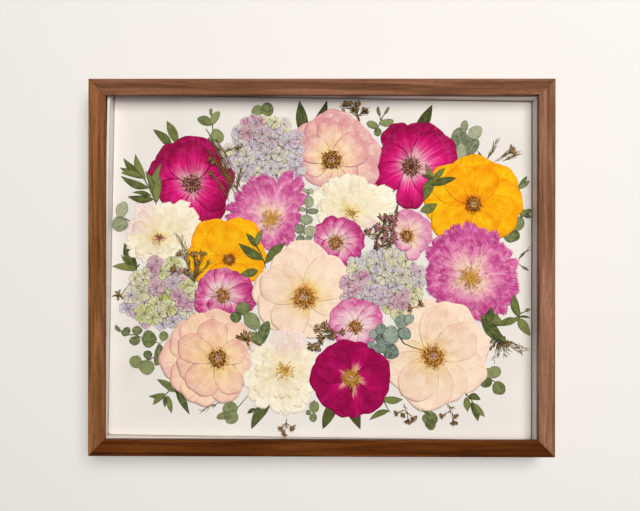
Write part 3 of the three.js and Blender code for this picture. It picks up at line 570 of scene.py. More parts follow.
def stamens(pile, heart, core, count, tip, filament=0.13, inner=0.25, spread=0.5):
    """Filaments that leave the heart at even angles with some jitter, each ending in an anther, a short fat
    rod. Their length = core x (1 - spread x a random share), and they start at core x inner."""
    floor = highest(heart, 6)
    turn = np.arange(count) * GOLDEN_TURN + rng.uniform(-0.1, 0.1, count)
    length = core * (1 - spread * rng.random(count))
    share = np.linspace(0, 1, 5)
    bow = rng.uniform(-0.25, 0.25, count)[:, None] * share ** 2
    far = core * inner + (length - core * inner)[:, None] * share
    angle = turn[:, None] + bow
    height = floor + 0.25 + RISE * np.sin(np.pi * 0.6 * share) * rng.uniform(0.4, 1.0, count)[:, None]
    paths = np.stack([heart[0] + far * np.cos(angle), height, heart[1] + far * np.sin(angle)], -1)
    rods(pile, paths, np.full(far.shape, filament), 4, 1)
    ends = paths[:, -1:, :]
    step = np.stack([np.cos(angle[:, -1]), np.zeros(count), np.sin(angle[:, -1])], -1)[:, None, :]
    square = np.stack([-step[..., 2], step[..., 1], step[..., 0]], -1)
    step = step + rng.uniform(-1, 1, (count, 1, 1)) * square
    step = step / np.linalg.norm(step, axis=-1, keepdims=True)
    paths = ends + step * (np.linspace(-1.3, 1.3, 4)[None, :, None] * tip)
    rods(pile, paths, tip * np.array([0.35, 0.9, 0.9, 0.35]) * np.ones((count, 1)), 4, 2)
    span = core * np.array([-0.7, 0.7])
    middle = window(heart[0] + span, heart[1] + span, 0)
    ground[middle] = np.maximum(ground[middle], floor + 0.2 + RISE)


def dome(pile, heart, radius, height, finish, pegs=34):
    """The seed head: pegs on a sunflower spiral, at radius x sqrt(share) and height x (1 - 0.6 share)."""
    floor = highest(heart, 4)
    share = (np.arange(pegs) + 0.5) / pegs
    turn = np.arange(pegs) * GOLDEN_TURN
    far = radius * np.sqrt(share)
    foot = floor + height * (1 - 0.6 * share) - 0.2
    middle = np.stack([heart[0] + far * np.cos(turn), foot, heart[1] + far * np.sin(turn)], -1)
    outwards = np.stack([np.cos(turn), np.zeros(pegs), np.sin(turn)], -1)
    size = radius / np.sqrt(pegs) * 0.95
    paths = middle[:, None, :] + outwards[:, None, :] * (np.linspace(-1, 1, 4)[None, :, None] * size)
    rods(pile, paths, size * np.array([0.4, 1, 1, 0.4]) * np.ones((pegs, 1)), 4, finish, flat=0.6)


print("a rose petal has", (ROSE_GRID[0] - 1) * (ROSE_GRID[1] - 1), "quads on each side")

# %% [markdown]
# ## Roses
# Garden roses with one or two rounds of broad petals. Each kind has its own finish: a rose's colour is partly
# its pigment and partly how it browned while drying. The hearts differ as much, from gold to nearly black.

# %% Rose finishes
MAGENTA = petal_finish(
    "dried_petal_magenta",
    [(0.0, "#fbe3d6"), (0.16, "#f8bcc8"), (0.3, "#f262a4"), (0.48, "#ea1c82"), (0.66, "#cc0868"),
     (0.95, "#980844")],
    rim=("#66002a", 1.8), streak=("#f062a6", 0.35), vein=("#8c0038", 0.35), double=("#a82454", 0.25),
    mottle=0.14, rayed=0.5
)
PLUM = petal_finish(
    "dried_petal_plum",
    [(0.0, "#fbe2a0"), (0.2, "#f7cd94"), (0.32, "#e58a8e"), (0.4, "#ce1274"), (0.6, "#c00060"),
     (0.95, "#a2004c")],
    rim=("#7c003a", 1.6), streak=("#d42c7e", 0.35), vein=("#80003c", 0.4), double=("#b03460", 0.2),
    mottle=0.22, rayed=0.6, pointed=1.5
)
BLUSH = petal_finish(
    "dried_petal_blush",
    [(0.0, "#d6922a"), (0.1, "#f4c458"), (0.26, "#fee2a0"), (0.52, "#ffe2b8"), (0.8, "#fdd6b8"),
     (1.0, "#f2bcae")],
    rim=("#bc7884", 1.2), streak=("#fff0cc", 0.4), vein=("#e0a096", 0.3), double=("#ecc6ba", 0.25),
    mottle=0.2, rayed=0.35
)
BLUSH_PINK = petal_finish(
    "dried_petal_blush_pink",
    [(0.0, "#d6922a"), (0.1, "#f4c458"), (0.24, "#fee4a8"), (0.46, "#fee2be"), (0.7, "#f4c6b8"),
     (0.9, "#e4a6a8")],
    rim=("#bc7088", 1.2), streak=("#fff0d4", 0.4), vein=("#d8929c", 0.35), double=("#ecc4bc", 0.25),
    mottle=0.3, rayed=0.35
)
CREAM = petal_finish(
    "dried_petal_cream",
    [(0.0, "#e9a02e"), (0.08, "#f3c568"), (0.2, "#ffe2ae"), (0.4, "#ffe4ca"), (0.8, "#ffe2cc"),
     (1.0, "#fcd8c2")],
    rim=("#cda68a", 0.8), streak=("#fff2e0", 0.3), vein=("#e4bc9e", 0.3), double=("#e6ccb8", 0.3),
    mottle=0.2, rayed=0.3
)
ORANGE = petal_finish(
    "dried_petal_orange",
    [(0.0, "#ee8a06"), (0.12, "#fcae08"), (0.4, "#ffc20c"), (0.8, "#ffbc0a"), (1.0, "#fca404")],
    rim=("#e67c02", 1.1), streak=("#ffd02c", 0.4), vein=("#e98a04", 0.45), double=("#f4bc70", 0.3),
    mottle=0.35, rayed=0.3
)
PINK = petal_finish(
    "dried_petal_pink",
    [(0.0, "#f4cf8a"), (0.14, "#fbe6d6"), (0.36, "#f9ccd0"), (0.54, "#f29abd"), (0.74, "#de5699"),
     (0.95, "#b82676")],
    rim=("#8e1454", 1.1), streak=("#fff0f0", 0.5), vein=("#a8206c", 0.45), double=("#d09aac", 0.35),
    mottle=0.25, rayed=0.35
)
PALE_PINK = petal_finish(
    "dried_petal_pale_pink",
    [(0.0, "#f4cf8a"), (0.14, "#fcebdc"), (0.45, "#fad8dc"), (0.66, "#f4b4ca"), (0.85, "#e480ae"),
     (1.0, "#cf5094")],
    rim=("#bc3c80", 1.0), streak=("#fff4f2", 0.5), vein=("#cc5c96", 0.4), double=("#dcaebe", 0.3),
    mottle=0.25, rayed=0.35
)
LILAC_PINK = petal_finish(
    "dried_petal_lilac_pink",
    [(0.0, "#f2c25c"), (0.2, "#fbe0b0"), (0.42, "#f7d2c8"), (0.72, "#eca6be"), (1.0, "#d87aa6")],
    rim=("#bc5490", 1.0), streak=("#fbdcd8", 0.5), vein=("#c05e94", 0.35), double=("#d8b0bc", 0.3),
    mottle=0.25, rayed=0.3
)
FILAMENT_GOLD = plain_finish("dried_filament_gold", "#d9962c", "#efc05a")
FILAMENT_RED = plain_finish("dried_filament_red", "#e6b896", "#b0604a")
ANTHER_BROWN = plain_finish("dried_anther_brown", "#6e3008", "#b4671a")
ANTHER_DARK = plain_finish("dried_anther_dark", "#3c1212", "#84402c")
ANTHER_GOLD = plain_finish("dried_anther_gold", "#9c5a14", "#e6b44c")
PISTIL = plain_finish("dried_pistil", "#96564a", "#f0ccba")
PALE_PISTIL = plain_finish("dried_pistil_pale", "#b0763c", "#f4e2c8")
DARK_PISTIL = plain_finish("dried_pistil_dark", "#3a0e18", "#8a3a40")
print("rose finishes ready")

# %% [markdown]
# ### Where each rose's petals lie
# A rose is its heart, the radius of its stamens, its finish, and its petals from the lowest to the highest.
# Each petal is its direction in degrees from the right, its reach from the heart and its width. A rule could
# spread them evenly, but every rose opened in its own way, so they are listed. Their order decides which
# rims show.

# %% Lay a rose
ROSES = {  # heart, radius of the stamens, finish, the heart's finishes, petals
    "rose_magenta_left": ((-152, 98), 12, MAGENTA, (FILAMENT_RED, ANTHER_DARK, DARK_PISTIL), [
        (85, 56, 66), (130, 55, 46), (20, 51, 50), (-60, 54, 46), (-88, 50, 34), (166, 55, 40),
        (208, 42, 36), (55, 46, 40), (-25, 46, 40), (98, 50, 52)]),
    "rose_magenta_right": ((105, 118), 12, MAGENTA, (FILAMENT_RED, ANTHER_DARK, DARK_PISTIL), [
        (62, 56, 54), (118, 55, 36), (98, 50, 38), (158, 44, 38), (205, 50, 38), (-90, 50, 33),
        (-40, 44, 34), (28, 57, 56)]),
    "rose_blush_top": ((12, 126), 12, BLUSH_PINK, (FILAMENT_GOLD, ANTHER_DARK, PISTIL), [
        (82, 60, 50), (100, 56, 44), (45, 56, 50), (12, 58, 52), (-22, 58, 48), (-60, 40, 46),
        (-100, 34, 40), (215, 38, 40), (135, 55, 46), (180, 36, 40), (70, 55, 34), (112, 52, 34),
        (92, 48, 30), (150, 40, 34), (25, 48, 42)]),
    "rose_orange_left": ((-108, 9), 7, ORANGE, (FILAMENT_GOLD, ANTHER_BROWN, PALE_PISTIL), [
        (130, 54, 50), (62, 52, 50), (10, 44, 40), (-20, 42, 34), (180, 50, 46), (215, 46, 40),
        (-90, 26, 46), (100, 44, 44)]),
    "rose_orange_right": ((178, 74), 10, ORANGE, (FILAMENT_GOLD, ANTHER_BROWN, PALE_PISTIL), [
        (90, 58, 62), (45, 60, 50), (10, 58, 50), (-25, 56, 50), (-70, 42, 50), (-130, 46, 46),
        (178, 58, 46), (140, 60, 44), (215, 56, 44), (70, 48, 40), (120, 50, 40)]),
    "rosette_pink_left": ((-115, -33), 9, PINK, (FILAMENT_GOLD, ANTHER_BROWN, PISTIL), [
        (210, 37, 26), (178, 34, 24), (150, 33, 22), (122, 34, 22), (92, 33, 22), (60, 32, 22),
        (30, 37, 24), (-18, 40, 24), (-50, 28, 22), (-90, 24, 22), (-125, 24, 22), (5, 36, 24)]),
    "rosette_pink_centre": ((17, 29), 9, PINK, (FILAMENT_GOLD, ANTHER_BROWN, PISTIL), [
        (165, 27, 18), (140, 31, 18), (105, 32, 20), (72, 31, 20), (45, 34, 20), (18, 35, 18),
        (-5, 34, 18), (-30, 33, 18), (-55, 31, 18), (200, 18, 16), (-110, 18, 18)]),
    "rose_blush_left": ((-121, -107), 12, BLUSH, (FILAMENT_GOLD, ANTHER_DARK, PISTIL), [
        (178, 69, 56), (150, 63, 46), (-145, 62, 48), (-118, 62, 46), (90, 58, 52), (125, 60, 44),
        (50, 50, 42), (-75, 53, 42), (0, 36, 40), (-35, 44, 38), (200, 50, 40), (-125, 50, 44),
        (105, 46, 36), (-65, 46, 32), (160, 50, 34), (20, 34, 30)]),
    "rose_cream_centre": ((-20, -35), 14, CREAM, (FILAMENT_GOLD, ANTHER_BROWN, PISTIL), [
        (166, 61, 52), (200, 58, 50), (-80, 50, 50), (-40, 50, 46), (-125, 50, 46), (88, 67, 54),
        (2, 50, 46), (118, 60, 46), (40, 62, 54), (150, 55, 50)]),
    "rosette_pink_right": ((100, 37), 8, LILAC_PINK, (FILAMENT_GOLD, ANTHER_BROWN, PISTIL), [
        (92, 32, 26), (60, 31, 24), (25, 32, 24), (-5, 30, 22), (-40, 27, 22), (-68, 30, 18),
        (-110, 18, 20), (150, 20, 20), (200, 16, 18), (120, 28, 22)]),
    "rose_cream_right": ((131, -104), 14, CREAM, (FILAMENT_GOLD, ANTHER_BROWN, PISTIL), [
        (60, 69, 60), (105, 66, 60), (15, 67, 58), (-25, 66, 50), (150, 54, 50), (185, 52, 46),
        (-145, 58, 50), (-62, 60, 50), (-100, 64, 60), (80, 60, 46), (-120, 58, 46), (30, 56, 46)]),
    "rosette_pink_bottom": ((40, -70), 9, PALE_PINK, (FILAMENT_GOLD, ANTHER_BROWN, PISTIL), [
        (90, 34, 26), (62, 34, 24), (35, 36, 24), (8, 33, 24), (118, 34, 24), (148, 34, 24),
        (175, 32, 24), (-25, 28, 22), (-60, 24, 22), (-120, 24, 22), (205, 28, 22)]),
    "rose_plum": ((35, -130), 11, PLUM, (FILAMENT_GOLD, ANTHER_GOLD, PALE_PISTIL), [
        (110, 46, 50), (20, 47, 52), (-50, 48, 46), (-105, 47, 36), (180, 48, 50), (65, 44, 48),
        (-15, 47, 48), (-80, 46, 38), (-142, 46, 46), (145, 47, 46)]),
}
ROSETTE_REACH = 42  # flowers whose petals are all shorter than this are small ones


def lay_rose(name):
    """Petals from the lowest to the highest, then thin stamens, the seed head, and thick stamens round it."""
    heart, core, finish, (filament, anther, pistil), petals = ROSES[name]
    cover[:] = 0
    pile = Pile()
    small = max(reach for _, reach, _ in petals) < ROSETTE_REACH
    grid = ROSETTE_GRID if small else ROSE_GRID
    for direction, reach, width in petals:
        petal(pile, heart, direction, reach, width, bend=rng.uniform(-5, 5), grid=grid)
    stamens(pile, heart, core * 1.2, 50 if small else 80, tip=0.35, spread=0.4)
    dome(pile, heart, core * 0.34, 0.9, 3)
    stamens(pile, heart, core * 0.9, 80 if small else 160, tip=0.6, spread=0.64)
    return make(name + "_dried", pile, [finish, filament, anther, pistil], name)


print(len(ROSES), "roses to lay")

# %% [markdown]
# ## Carnations
# A carnation has many narrow petals with toothed ends, in rounds. They are too many to list, so each flower
# is given by how far it reaches in each direction, (degrees, mm), and its petals are counted out inside that
# outline. The white ones are tinted pink on one side.

# %% Carnations
WHITE = petal_finish(
    "dried_petal_white",
    [(0.0, "#efc650"), (0.1, "#f9e3a4"), (0.3, "#fff2d4"), (1.0, "#fff2de")],
    rim=("#efd8c0", 0.55), streak=("#fffaf2", 0.6), vein=("#e4c69a", 0.5), double=("#ecdabe", 0.3),
    mottle=0.24, rayed=0.3, fan=11.0, patch_mm=6.0
)
ORCHID = petal_finish(
    "dried_petal_orchid",
    [(0.0, "#efb838"), (0.12, "#f9dc98"), (0.28, "#fddcbe"), (0.44, "#f4b8c4"), (0.64, "#ea88b2"),
     (0.86, "#d8609c"), (1.0, "#c24a8a")],
    rim=("#e69cc4", 0.8), streak=("#f4b8d2", 0.6), vein=("#ae2678", 0.5), double=("#dcaac2", 0.12),
    mottle=0.5, rayed=0.5, fan=11.0, patch_mm=7.0
)
FUCHSIA = petal_finish(
    "dried_petal_fuchsia",
    [(0.0, "#efbf40"), (0.14, "#fae2a2"), (0.3, "#fde0be"), (0.44, "#f8c0c0"), (0.6, "#ee98b8"),
     (0.8, "#de6aa4"), (1.0, "#c2408c")],
    rim=("#d870ac", 0.8), streak=("#f2b0cc", 0.6), vein=("#a61c70", 0.5), double=("#d8a0b8", 0.12),
    mottle=0.5, rayed=0.5, fan=11.0, patch_mm=5.5
)
STIGMA_RED = plain_finish("dried_stigma_red", "#a01f3c", "#c9506a")
STIGMA_RUST = plain_finish("dried_stigma_rust", "#9c4a2a", "#c9804a")
CARNATIONS = {  # heart, finish, outline
    "carnation_white_left": ((-190, 34), WHITE, [
        (13, 41), (29, 54), (46, 59), (61, 52), (83, 43), (113, 47), (132, 54), (146, 50), (166, 36),
        (184, 47), (224, 36), (280, 27), (326, 36), (354, 40)]),
    "carnation_white_top": ((35, 63), WHITE, [
        (12, 59), (24, 58), (40, 48), (58, 42), (78, 48), (92, 48), (119, 48), (137, 54), (156, 47),
        (177, 43), (200, 40), (250, 24), (300, 22), (326, 32), (356, 48)]),
    "carnation_pink_top": ((-58, 56), ORCHID, [
        (7, 33), (27, 43), (40, 53), (50, 61), (63, 63), (80, 59), (94, 56), (119, 56), (135, 57),
        (153, 58), (176, 60), (190, 52), (220, 42), (255, 36), (285, 39), (307, 40), (328, 33)]),
    "carnation_pink_right": ((174, -12), FUCHSIA, [
        (7, 59), (31, 66), (49, 60), (67, 67), (78, 56), (86, 63), (101, 70), (113, 67), (129, 67),
        (142, 63), (154, 60), (172, 52), (194, 53), (206, 58), (220, 50), (238, 48), (278, 57),
        (298, 56), (307, 63), (318, 67), (335, 61), (349, 69), (357, 62)]),
    "carnation_white_bottom": ((-42, -121), WHITE, [
        (0, 36), (37, 43), (61, 49), (78, 50), (100, 45), (128, 43), (148, 47), (172, 44), (192, 46),
        (211, 56), (224, 58), (241, 53), (256, 54), (272, 57), (288, 50), (308, 46), (329, 39)]),
}
CARNATION_HEARTS = {  # radius, how many stamens, filament, anther, and the directions that are tinted
    "carnation_white_left": (9, 16, STIGMA_RED, STIGMA_RED, (120, 170)),
    "carnation_white_top": (9, 14, FILAMENT_GOLD, STIGMA_RUST, (330, 360)),
    "carnation_white_bottom": (13, 26, FILAMENT_GOLD, STIGMA_RUST, (55, 125)),
    "carnation_pink_top": (13, 46, FILAMENT_GOLD, ANTHER_GOLD, None),
    "carnation_pink_right": (14, 54, FILAMENT_GOLD, ANTHER_GOLD, None),
}
# A round of petals is the least and most share of the outline's reach, how many there are, their width as a
# share of their length, and the depth of their teeth.
BROAD = ((0.95, 1.03, 15, 0.5, 0.05), (0.62, 0.9, 12, 0.42, 0.07))
FRINGED = ((0.93, 1.03, 15, 0.5, 0.07), (0.7, 0.92, 12, 0.46, 0.09))
TINT = 0.35


def reach_at(outline, degrees):
    """How far an outline of (direction, reach) goes in a direction, read between its neighbours."""
    at, reach = np.array(outline, float).T
    at = np.concatenate([at[-1:] - 360, at, at[:1] + 360])
    return np.interp(degrees % 360, at, np.concatenate([reach[-1:], reach, reach[:1]]))


def lay_carnation(name):
    """Two rounds of fringed petals, spread evenly with some jitter, and a heart of thin stamens."""
    heart, finish, outline = CARNATIONS[name]
    core, count, filament, anther, tinted = CARNATION_HEARTS[name]
    cover[:] = 0
    pile = Pile()
    for least, most, petals, width, teeth in BROAD if "white" in name else FRINGED:
        even = rng.uniform(0, 25) + np.arange(petals) * 360 / petals
        for direction in even + rng.uniform(-6, 6, petals):
            reach = reach_at(outline, direction) * rng.uniform(least, most)
            spare = TINT if tinted and tinted[0] <= direction % 360 <= tinted[1] else 0.0
            petal(pile, heart, direction, reach, reach * width, teeth=teeth, notch=rng.uniform(0, 0.14),
                  bend=rng.uniform(-9, 9), grid=CARNATION_GRID, pleat=0.1, ruffle=0.1, thick=0.08,
                  fullness=0.55, spare=spare, fringe=46)
    dome(pile, heart, 1.6, 0.3, 1, pegs=9)
    stamens(pile, heart, core, count, tip=0.55, filament=0.22, inner=0.1, spread=0.6)
    return make(name + "_dried", pile, [finish, filament, anther], name)


print(len(CARNATIONS), "carnations to lay")

# %% [markdown]
# ## Hydrangeas
# A hydrangea head is a crowd of florets, each with four broad sepals and a bead in the middle. They dry in
# mauve, blue-lilac, grey and green side by side. A sunflower spiral fills any outline evenly, so the florets
# follow one. A head is its heart, its outline as for a carnation, and spots of (x, z, tone): each floret
# takes the tone of the spot nearest to it.

# %% Hydrangeas
# From mauve through blue-lilac and grey to green.
SEPAL_TONES = [(0.0, "#c67aa4"), (0.2, "#cfa6c0"), (0.4, "#b8b2d4"), (0.55, "#d4cabc"),
               (0.75, "#dfdaa8"), (1.0, "#b8be5e")]
HYDRANGEAS = {  # heart, outline, and places of its tones as (x, z, tone)
    "hydrangea_top": ((-66, 143),
        [(9, 46), (30, 44), (53, 44), (73, 37), (97, 35), (121, 43), (137, 40), (154, 43), (169, 53),
         (180, 54), (198, 54), (221, 55), (250, 52), (295, 46), (323, 59), (346, 53)],
        [(-85, 165, 0.05), (-98, 160, 0.3), (-88, 176, 0.95), (-35, 140, 0.32), (-60, 135, 0.4),
         (-95, 122, 0.42), (-45, 165, 0.35), (-70, 150, 0.3), (-60, 176, 0.75), (-30, 118, 0.5),
         (-75, 120, 0.55), (-30, 160, 0.2), (-107, 140, 0.5), (-50, 150, 0.7)]),
    "hydrangea_left": ((-187, -30),
        [(14, 41), (43, 37), (74, 44), (91, 45), (110, 47), (129, 43), (143, 44), (164, 44), (193, 52),
         (209, 50), (227, 54), (248, 48), (267, 50), (282, 45), (306, 43), (328, 51), (346, 46)],
        [(-203, 5, 0.05), (-184, 5, 0.9), (-200, -22, 0.15), (-175, -14, 0.2), (-205, -55, 0.95),
         (-180, -30, 0.85), (-215, -62, 0.25), (-195, -72, 0.15), (-165, -55, 0.5), (-215, -35, 0.65),
         (-160, -25, 0.85), (-165, -38, 0.1), (-190, -50, 0.8), (-212, -12, 0.75), (-196, -34, 0.08),
         (-224, -52, 0.15), (-212, -72, 0.2), (-180, -62, 0.42), (-222, -25, 0.6)]),
    "hydrangea_right": ((78, -15),
        [(4, 47), (24, 48), (58, 41), (80, 42), (109, 46), (138, 48), (155, 51), (166, 57), (185, 60),
         (203, 58), (227, 50), (250, 40), (270, 45), (291, 48), (316, 47), (337, 50)],
        [(38, -14, 0.1), (85, -37, 0.05), (60, 10, 0.4), (75, -5, 0.55), (100, -5, 0.5), (95, -20, 0.6),
         (108, -32, 0.85), (115, -18, 0.35), (62, -10, 0.5), (66, -30, 0.35), (88, 12, 0.6),
         (80, -50, 0.85), (45, 3, 0.55), (110, 2, 0.3)]),
}
FLORETS = 47
FLORET_EYE = plain_finish("dried_floret_eye", "#4c3434", "#8a6a50")


def floret_finish(name, tones, pale, dark):
    """Sepals: a tone for each floret, a pale outer part, dark and pale ribs that run out along each sepal,
    a dark middle, and a thin dark outline."""
    m = start(name)
    across, along, edge, random, layers, tone = carried(m)
    cloud = patches(m, 4, Detail=4.0)
    place = total(m, [(cloud, 1.1), (tone, 1.0)], -0.55)
    ribs = pattern(m, total(m, [(across, 7.0)]), along, total(m, [(random, 51.0)]), Detail=3.5)
    colour = coated(m, put(m, "ValToRGB", {"Fac": place}, tones)["Color"], [
        (pale, "MIX", (edge, 0.2, 3.5, 0.5, 0.0)),
        (dark, "MIX", (ribs, 0.54, 0.65, 0.0, 0.8)),
        (pale, "MIX", (ribs, 0.46, 0.36, 0.0, 0.5)),
        (dark, "MIX", (along, 0.05, 0.35, 0.35, 0.0)),
        ("#b0a090", "MULTIPLY", (layers, 0.0, 4.0, 0.0, 0.2)),
        (dark, "MIX", (edge, 0.05, 0.5, 0.75, 0.0))])
    return matte(m, colour, ribs, 0.3, 0.2, Roughness=0.8, Specular_IOR_Level=0.04)


SEPAL = floret_finish("dried_sepal", SEPAL_TONES, "#f6ecd6", "#6a5044")


def lay_hydrangea(name):
    """Florets on a sunflower spiral inside the outline, laid in a random order."""
    heart, outline, spots = HYDRANGEAS[name]
    spots = np.array(spots)
    cover[:] = 0
    pile = Pile()
    turn = np.degrees(np.arange(FLORETS) * GOLDEN_TURN)
    share = np.sqrt((np.arange(FLORETS) + 0.5) / FLORETS)
    for k in rng.permutation(FLORETS):
        far = max(reach_at(outline, turn[k]) - 7.5, 4) * share[k] + rng.uniform(-2.5, 2.5)
        ahead = np.array([np.cos(np.radians(turn[k])), np.sin(np.radians(turn[k]))])
        middle = np.array(heart) + far * ahead
        nearest = np.argmin(np.hypot(*(spots[:, :2] - middle).T))
        tone = spots[nearest, 2] + rng.uniform(-0.12, 0.12)
        tilt, size = rng.uniform(0, 90), rng.uniform(8.3, 13)
        for quarter in range(4):
            petal(pile, middle, tilt + 90 * quarter + rng.uniform(-20, 20), size * rng.uniform(0.75, 1.1),
                  size * rng.uniform(0.95, 1.35), claw=0.25, teeth=0.03, notch=rng.uniform(0, 0.12),
                  bend=rng.uniform(-15, 15), grid=SEPAL_GRID, inner=0.6, thick=0.1, pleat=0.16,
                  spare=tone + rng.uniform(-0.1, 0.1), fullness=0.62)
        x = middle[0] + np.array([-0.8, 0, 0.8])
        height = highest(middle, 2) + np.array([0.15, 0.3, 0.15])
        path = np.stack([x, height, np.full(3, middle[1])], -1)
        rods(pile, path[None], np.array([[0.35, 0.8, 0.35]]), 6, 1)
    return make(name + "_dried", pile, [SEPAL, FLORET_EYE], name)


print(len(HYDRANGEAS), "hydrangeas of", FLORETS, "florets to lay")

# %% [markdown]
# ## Leaves, twigs and buds
# Eucalyptus has round grey-green leaves, ruscus pointed olive ones, and waxflower thin brown twigs with
# needles and small five-petalled flowers. A leaf dries from its edge inwards, so the edge is darkest, and
# its midrib and its slanting side veins stay pale.

# %% Leaf and twig finishes
def leaf_finish(name, tones, midrib, edge, edge_mm=0.9):
    """A dried leaf: tones that differ from leaf to leaf, slanting side veins, a midrib and a darker edge."""
    m = start(name)
    across, along, rim, random = carried(m)[:4]
    cloud = patches(m, 6, Detail=4.0)
    tone = total(m, [(cloud, 1.0), (random, 0.7)], -0.3)
    off = put(m, "Math", {0: across}, operation="ABSOLUTE")["Value"]
    slant = total(m, [(off, -2.5), (along, 11.0)])
    side_veins = pattern(m, slant, off, total(m, [(random, 31.0)]), Detail=1.0)
    colour = coated(m, put(m, "ValToRGB", {"Fac": tone}, tones)["Color"], [
        (midrib, "MIX", (side_veins, 0.55, 0.66, 0.0, 0.4)),
        (edge, "MIX", (side_veins, 0.45, 0.32, 0.0, 0.35)),
        (midrib, "MIX", (off, 0.02, 0.08, 0.6, 0.0)),
        (edge, "MIX", (rim, 0.0, edge_mm, 0.7, 0.0))])
    return matte(m, colour, side_veins, 0.35, 0.25, Roughness=0.7, Specular_IOR_Level=0.15)


GREEN_LEAF = leaf_finish(
    "dried_eucalyptus_green",
    [(0.1, "#4f5733"), (0.45, "#6a7145"), (0.8, "#8b9061")],
    "#9aa16e", "#353b22"
)
SILVER_LEAF = leaf_finish(
    "dried_eucalyptus_silver",
    [(0.1, "#6c7158"), (0.45, "#8c8f72"), (0.8, "#aeae8e")],
    "#b0b092", "#3e4230"
)
BLUE_LEAF = leaf_finish(
    "dried_eucalyptus_blue",
    [(0.1, "#4d5b54"), (0.45, "#738177"), (0.8, "#9ca698")],
    "#a4aa9c", "#242e28", 1.3
)
RUSCUS_LEAF = leaf_finish(
    "dried_ruscus_leaf",
    [(0.1, "#414821"), (0.45, "#5e6434"), (0.8, "#7f8349")],
    "#878e54", "#2b3118"
)
DARK_LEAF = leaf_finish(
    "dried_leaf_dark",
    [(0.1, "#303419"), (0.5, "#444824"), (0.9, "#5d6136")],
    "#6c713e", "#252a15"
)
WAX_PETAL = leaf_finish(
    "dried_waxflower_petal",
    [(0.1, "#6a4430"), (0.4, "#a07c4c"), (0.7, "#c6a56c"), (0.95, "#d09a8c")],
    "#7a5034", "#54321e"
)
PINK_WAX_PETAL = leaf_finish(
    "dried_waxflower_petal_pink",
    [(0.1, "#7c3c40"), (0.4, "#b4707a"), (0.7, "#cf92a2"), (0.95, "#dfb0ae")],
    "#8a4a50", "#5c2a28"
)
GREEN_TWIG = plain_finish("dried_twig_green", "#4c4426", "#767044")
BROWN_TWIG = plain_finish("dried_twig_brown", "#54241e", "#8f7a44")
NEEDLE = plain_finish("dried_needle", "#5c3626", "#98894c")
BUD = plain_finish("dried_bud", "#46260f", "#957036")
USUAL_BLADE = {"eucalyptus": GREEN_LEAF, "ruscus": RUSCUS_LEAF, "waxflower": WAX_PETAL}
OTHER_BLADE = {
    "waxflower_centre": PINK_WAX_PETAL,
    "ruscus_bottom_one": DARK_LEAF,
    "ruscus_top_right": DARK_LEAF,
    "ruscus_bottom_centre": DARK_LEAF,
    "ruscus_top_a": DARK_LEAF,
    "ruscus_top_b": DARK_LEAF,
    "eucalyptus_silver_spray": SILVER_LEAF,
    "eucalyptus_corner": SILVER_LEAF,
    "eucalyptus_left": SILVER_LEAF,
    "eucalyptus_blue": BLUE_LEAF,
}
print("leaf finishes ready")

# %% [markdown]
# ### Where each sprig lies
# A sprig is its leaves, its stems and, on a waxflower, its buds. A leaf is where its stalk joins, where its
# tip is, and how wide it is. A stem is a line of points. A bud is where it is and how far across. The larger
# sprigs have a solid of their own; the small ones at the edges don't.

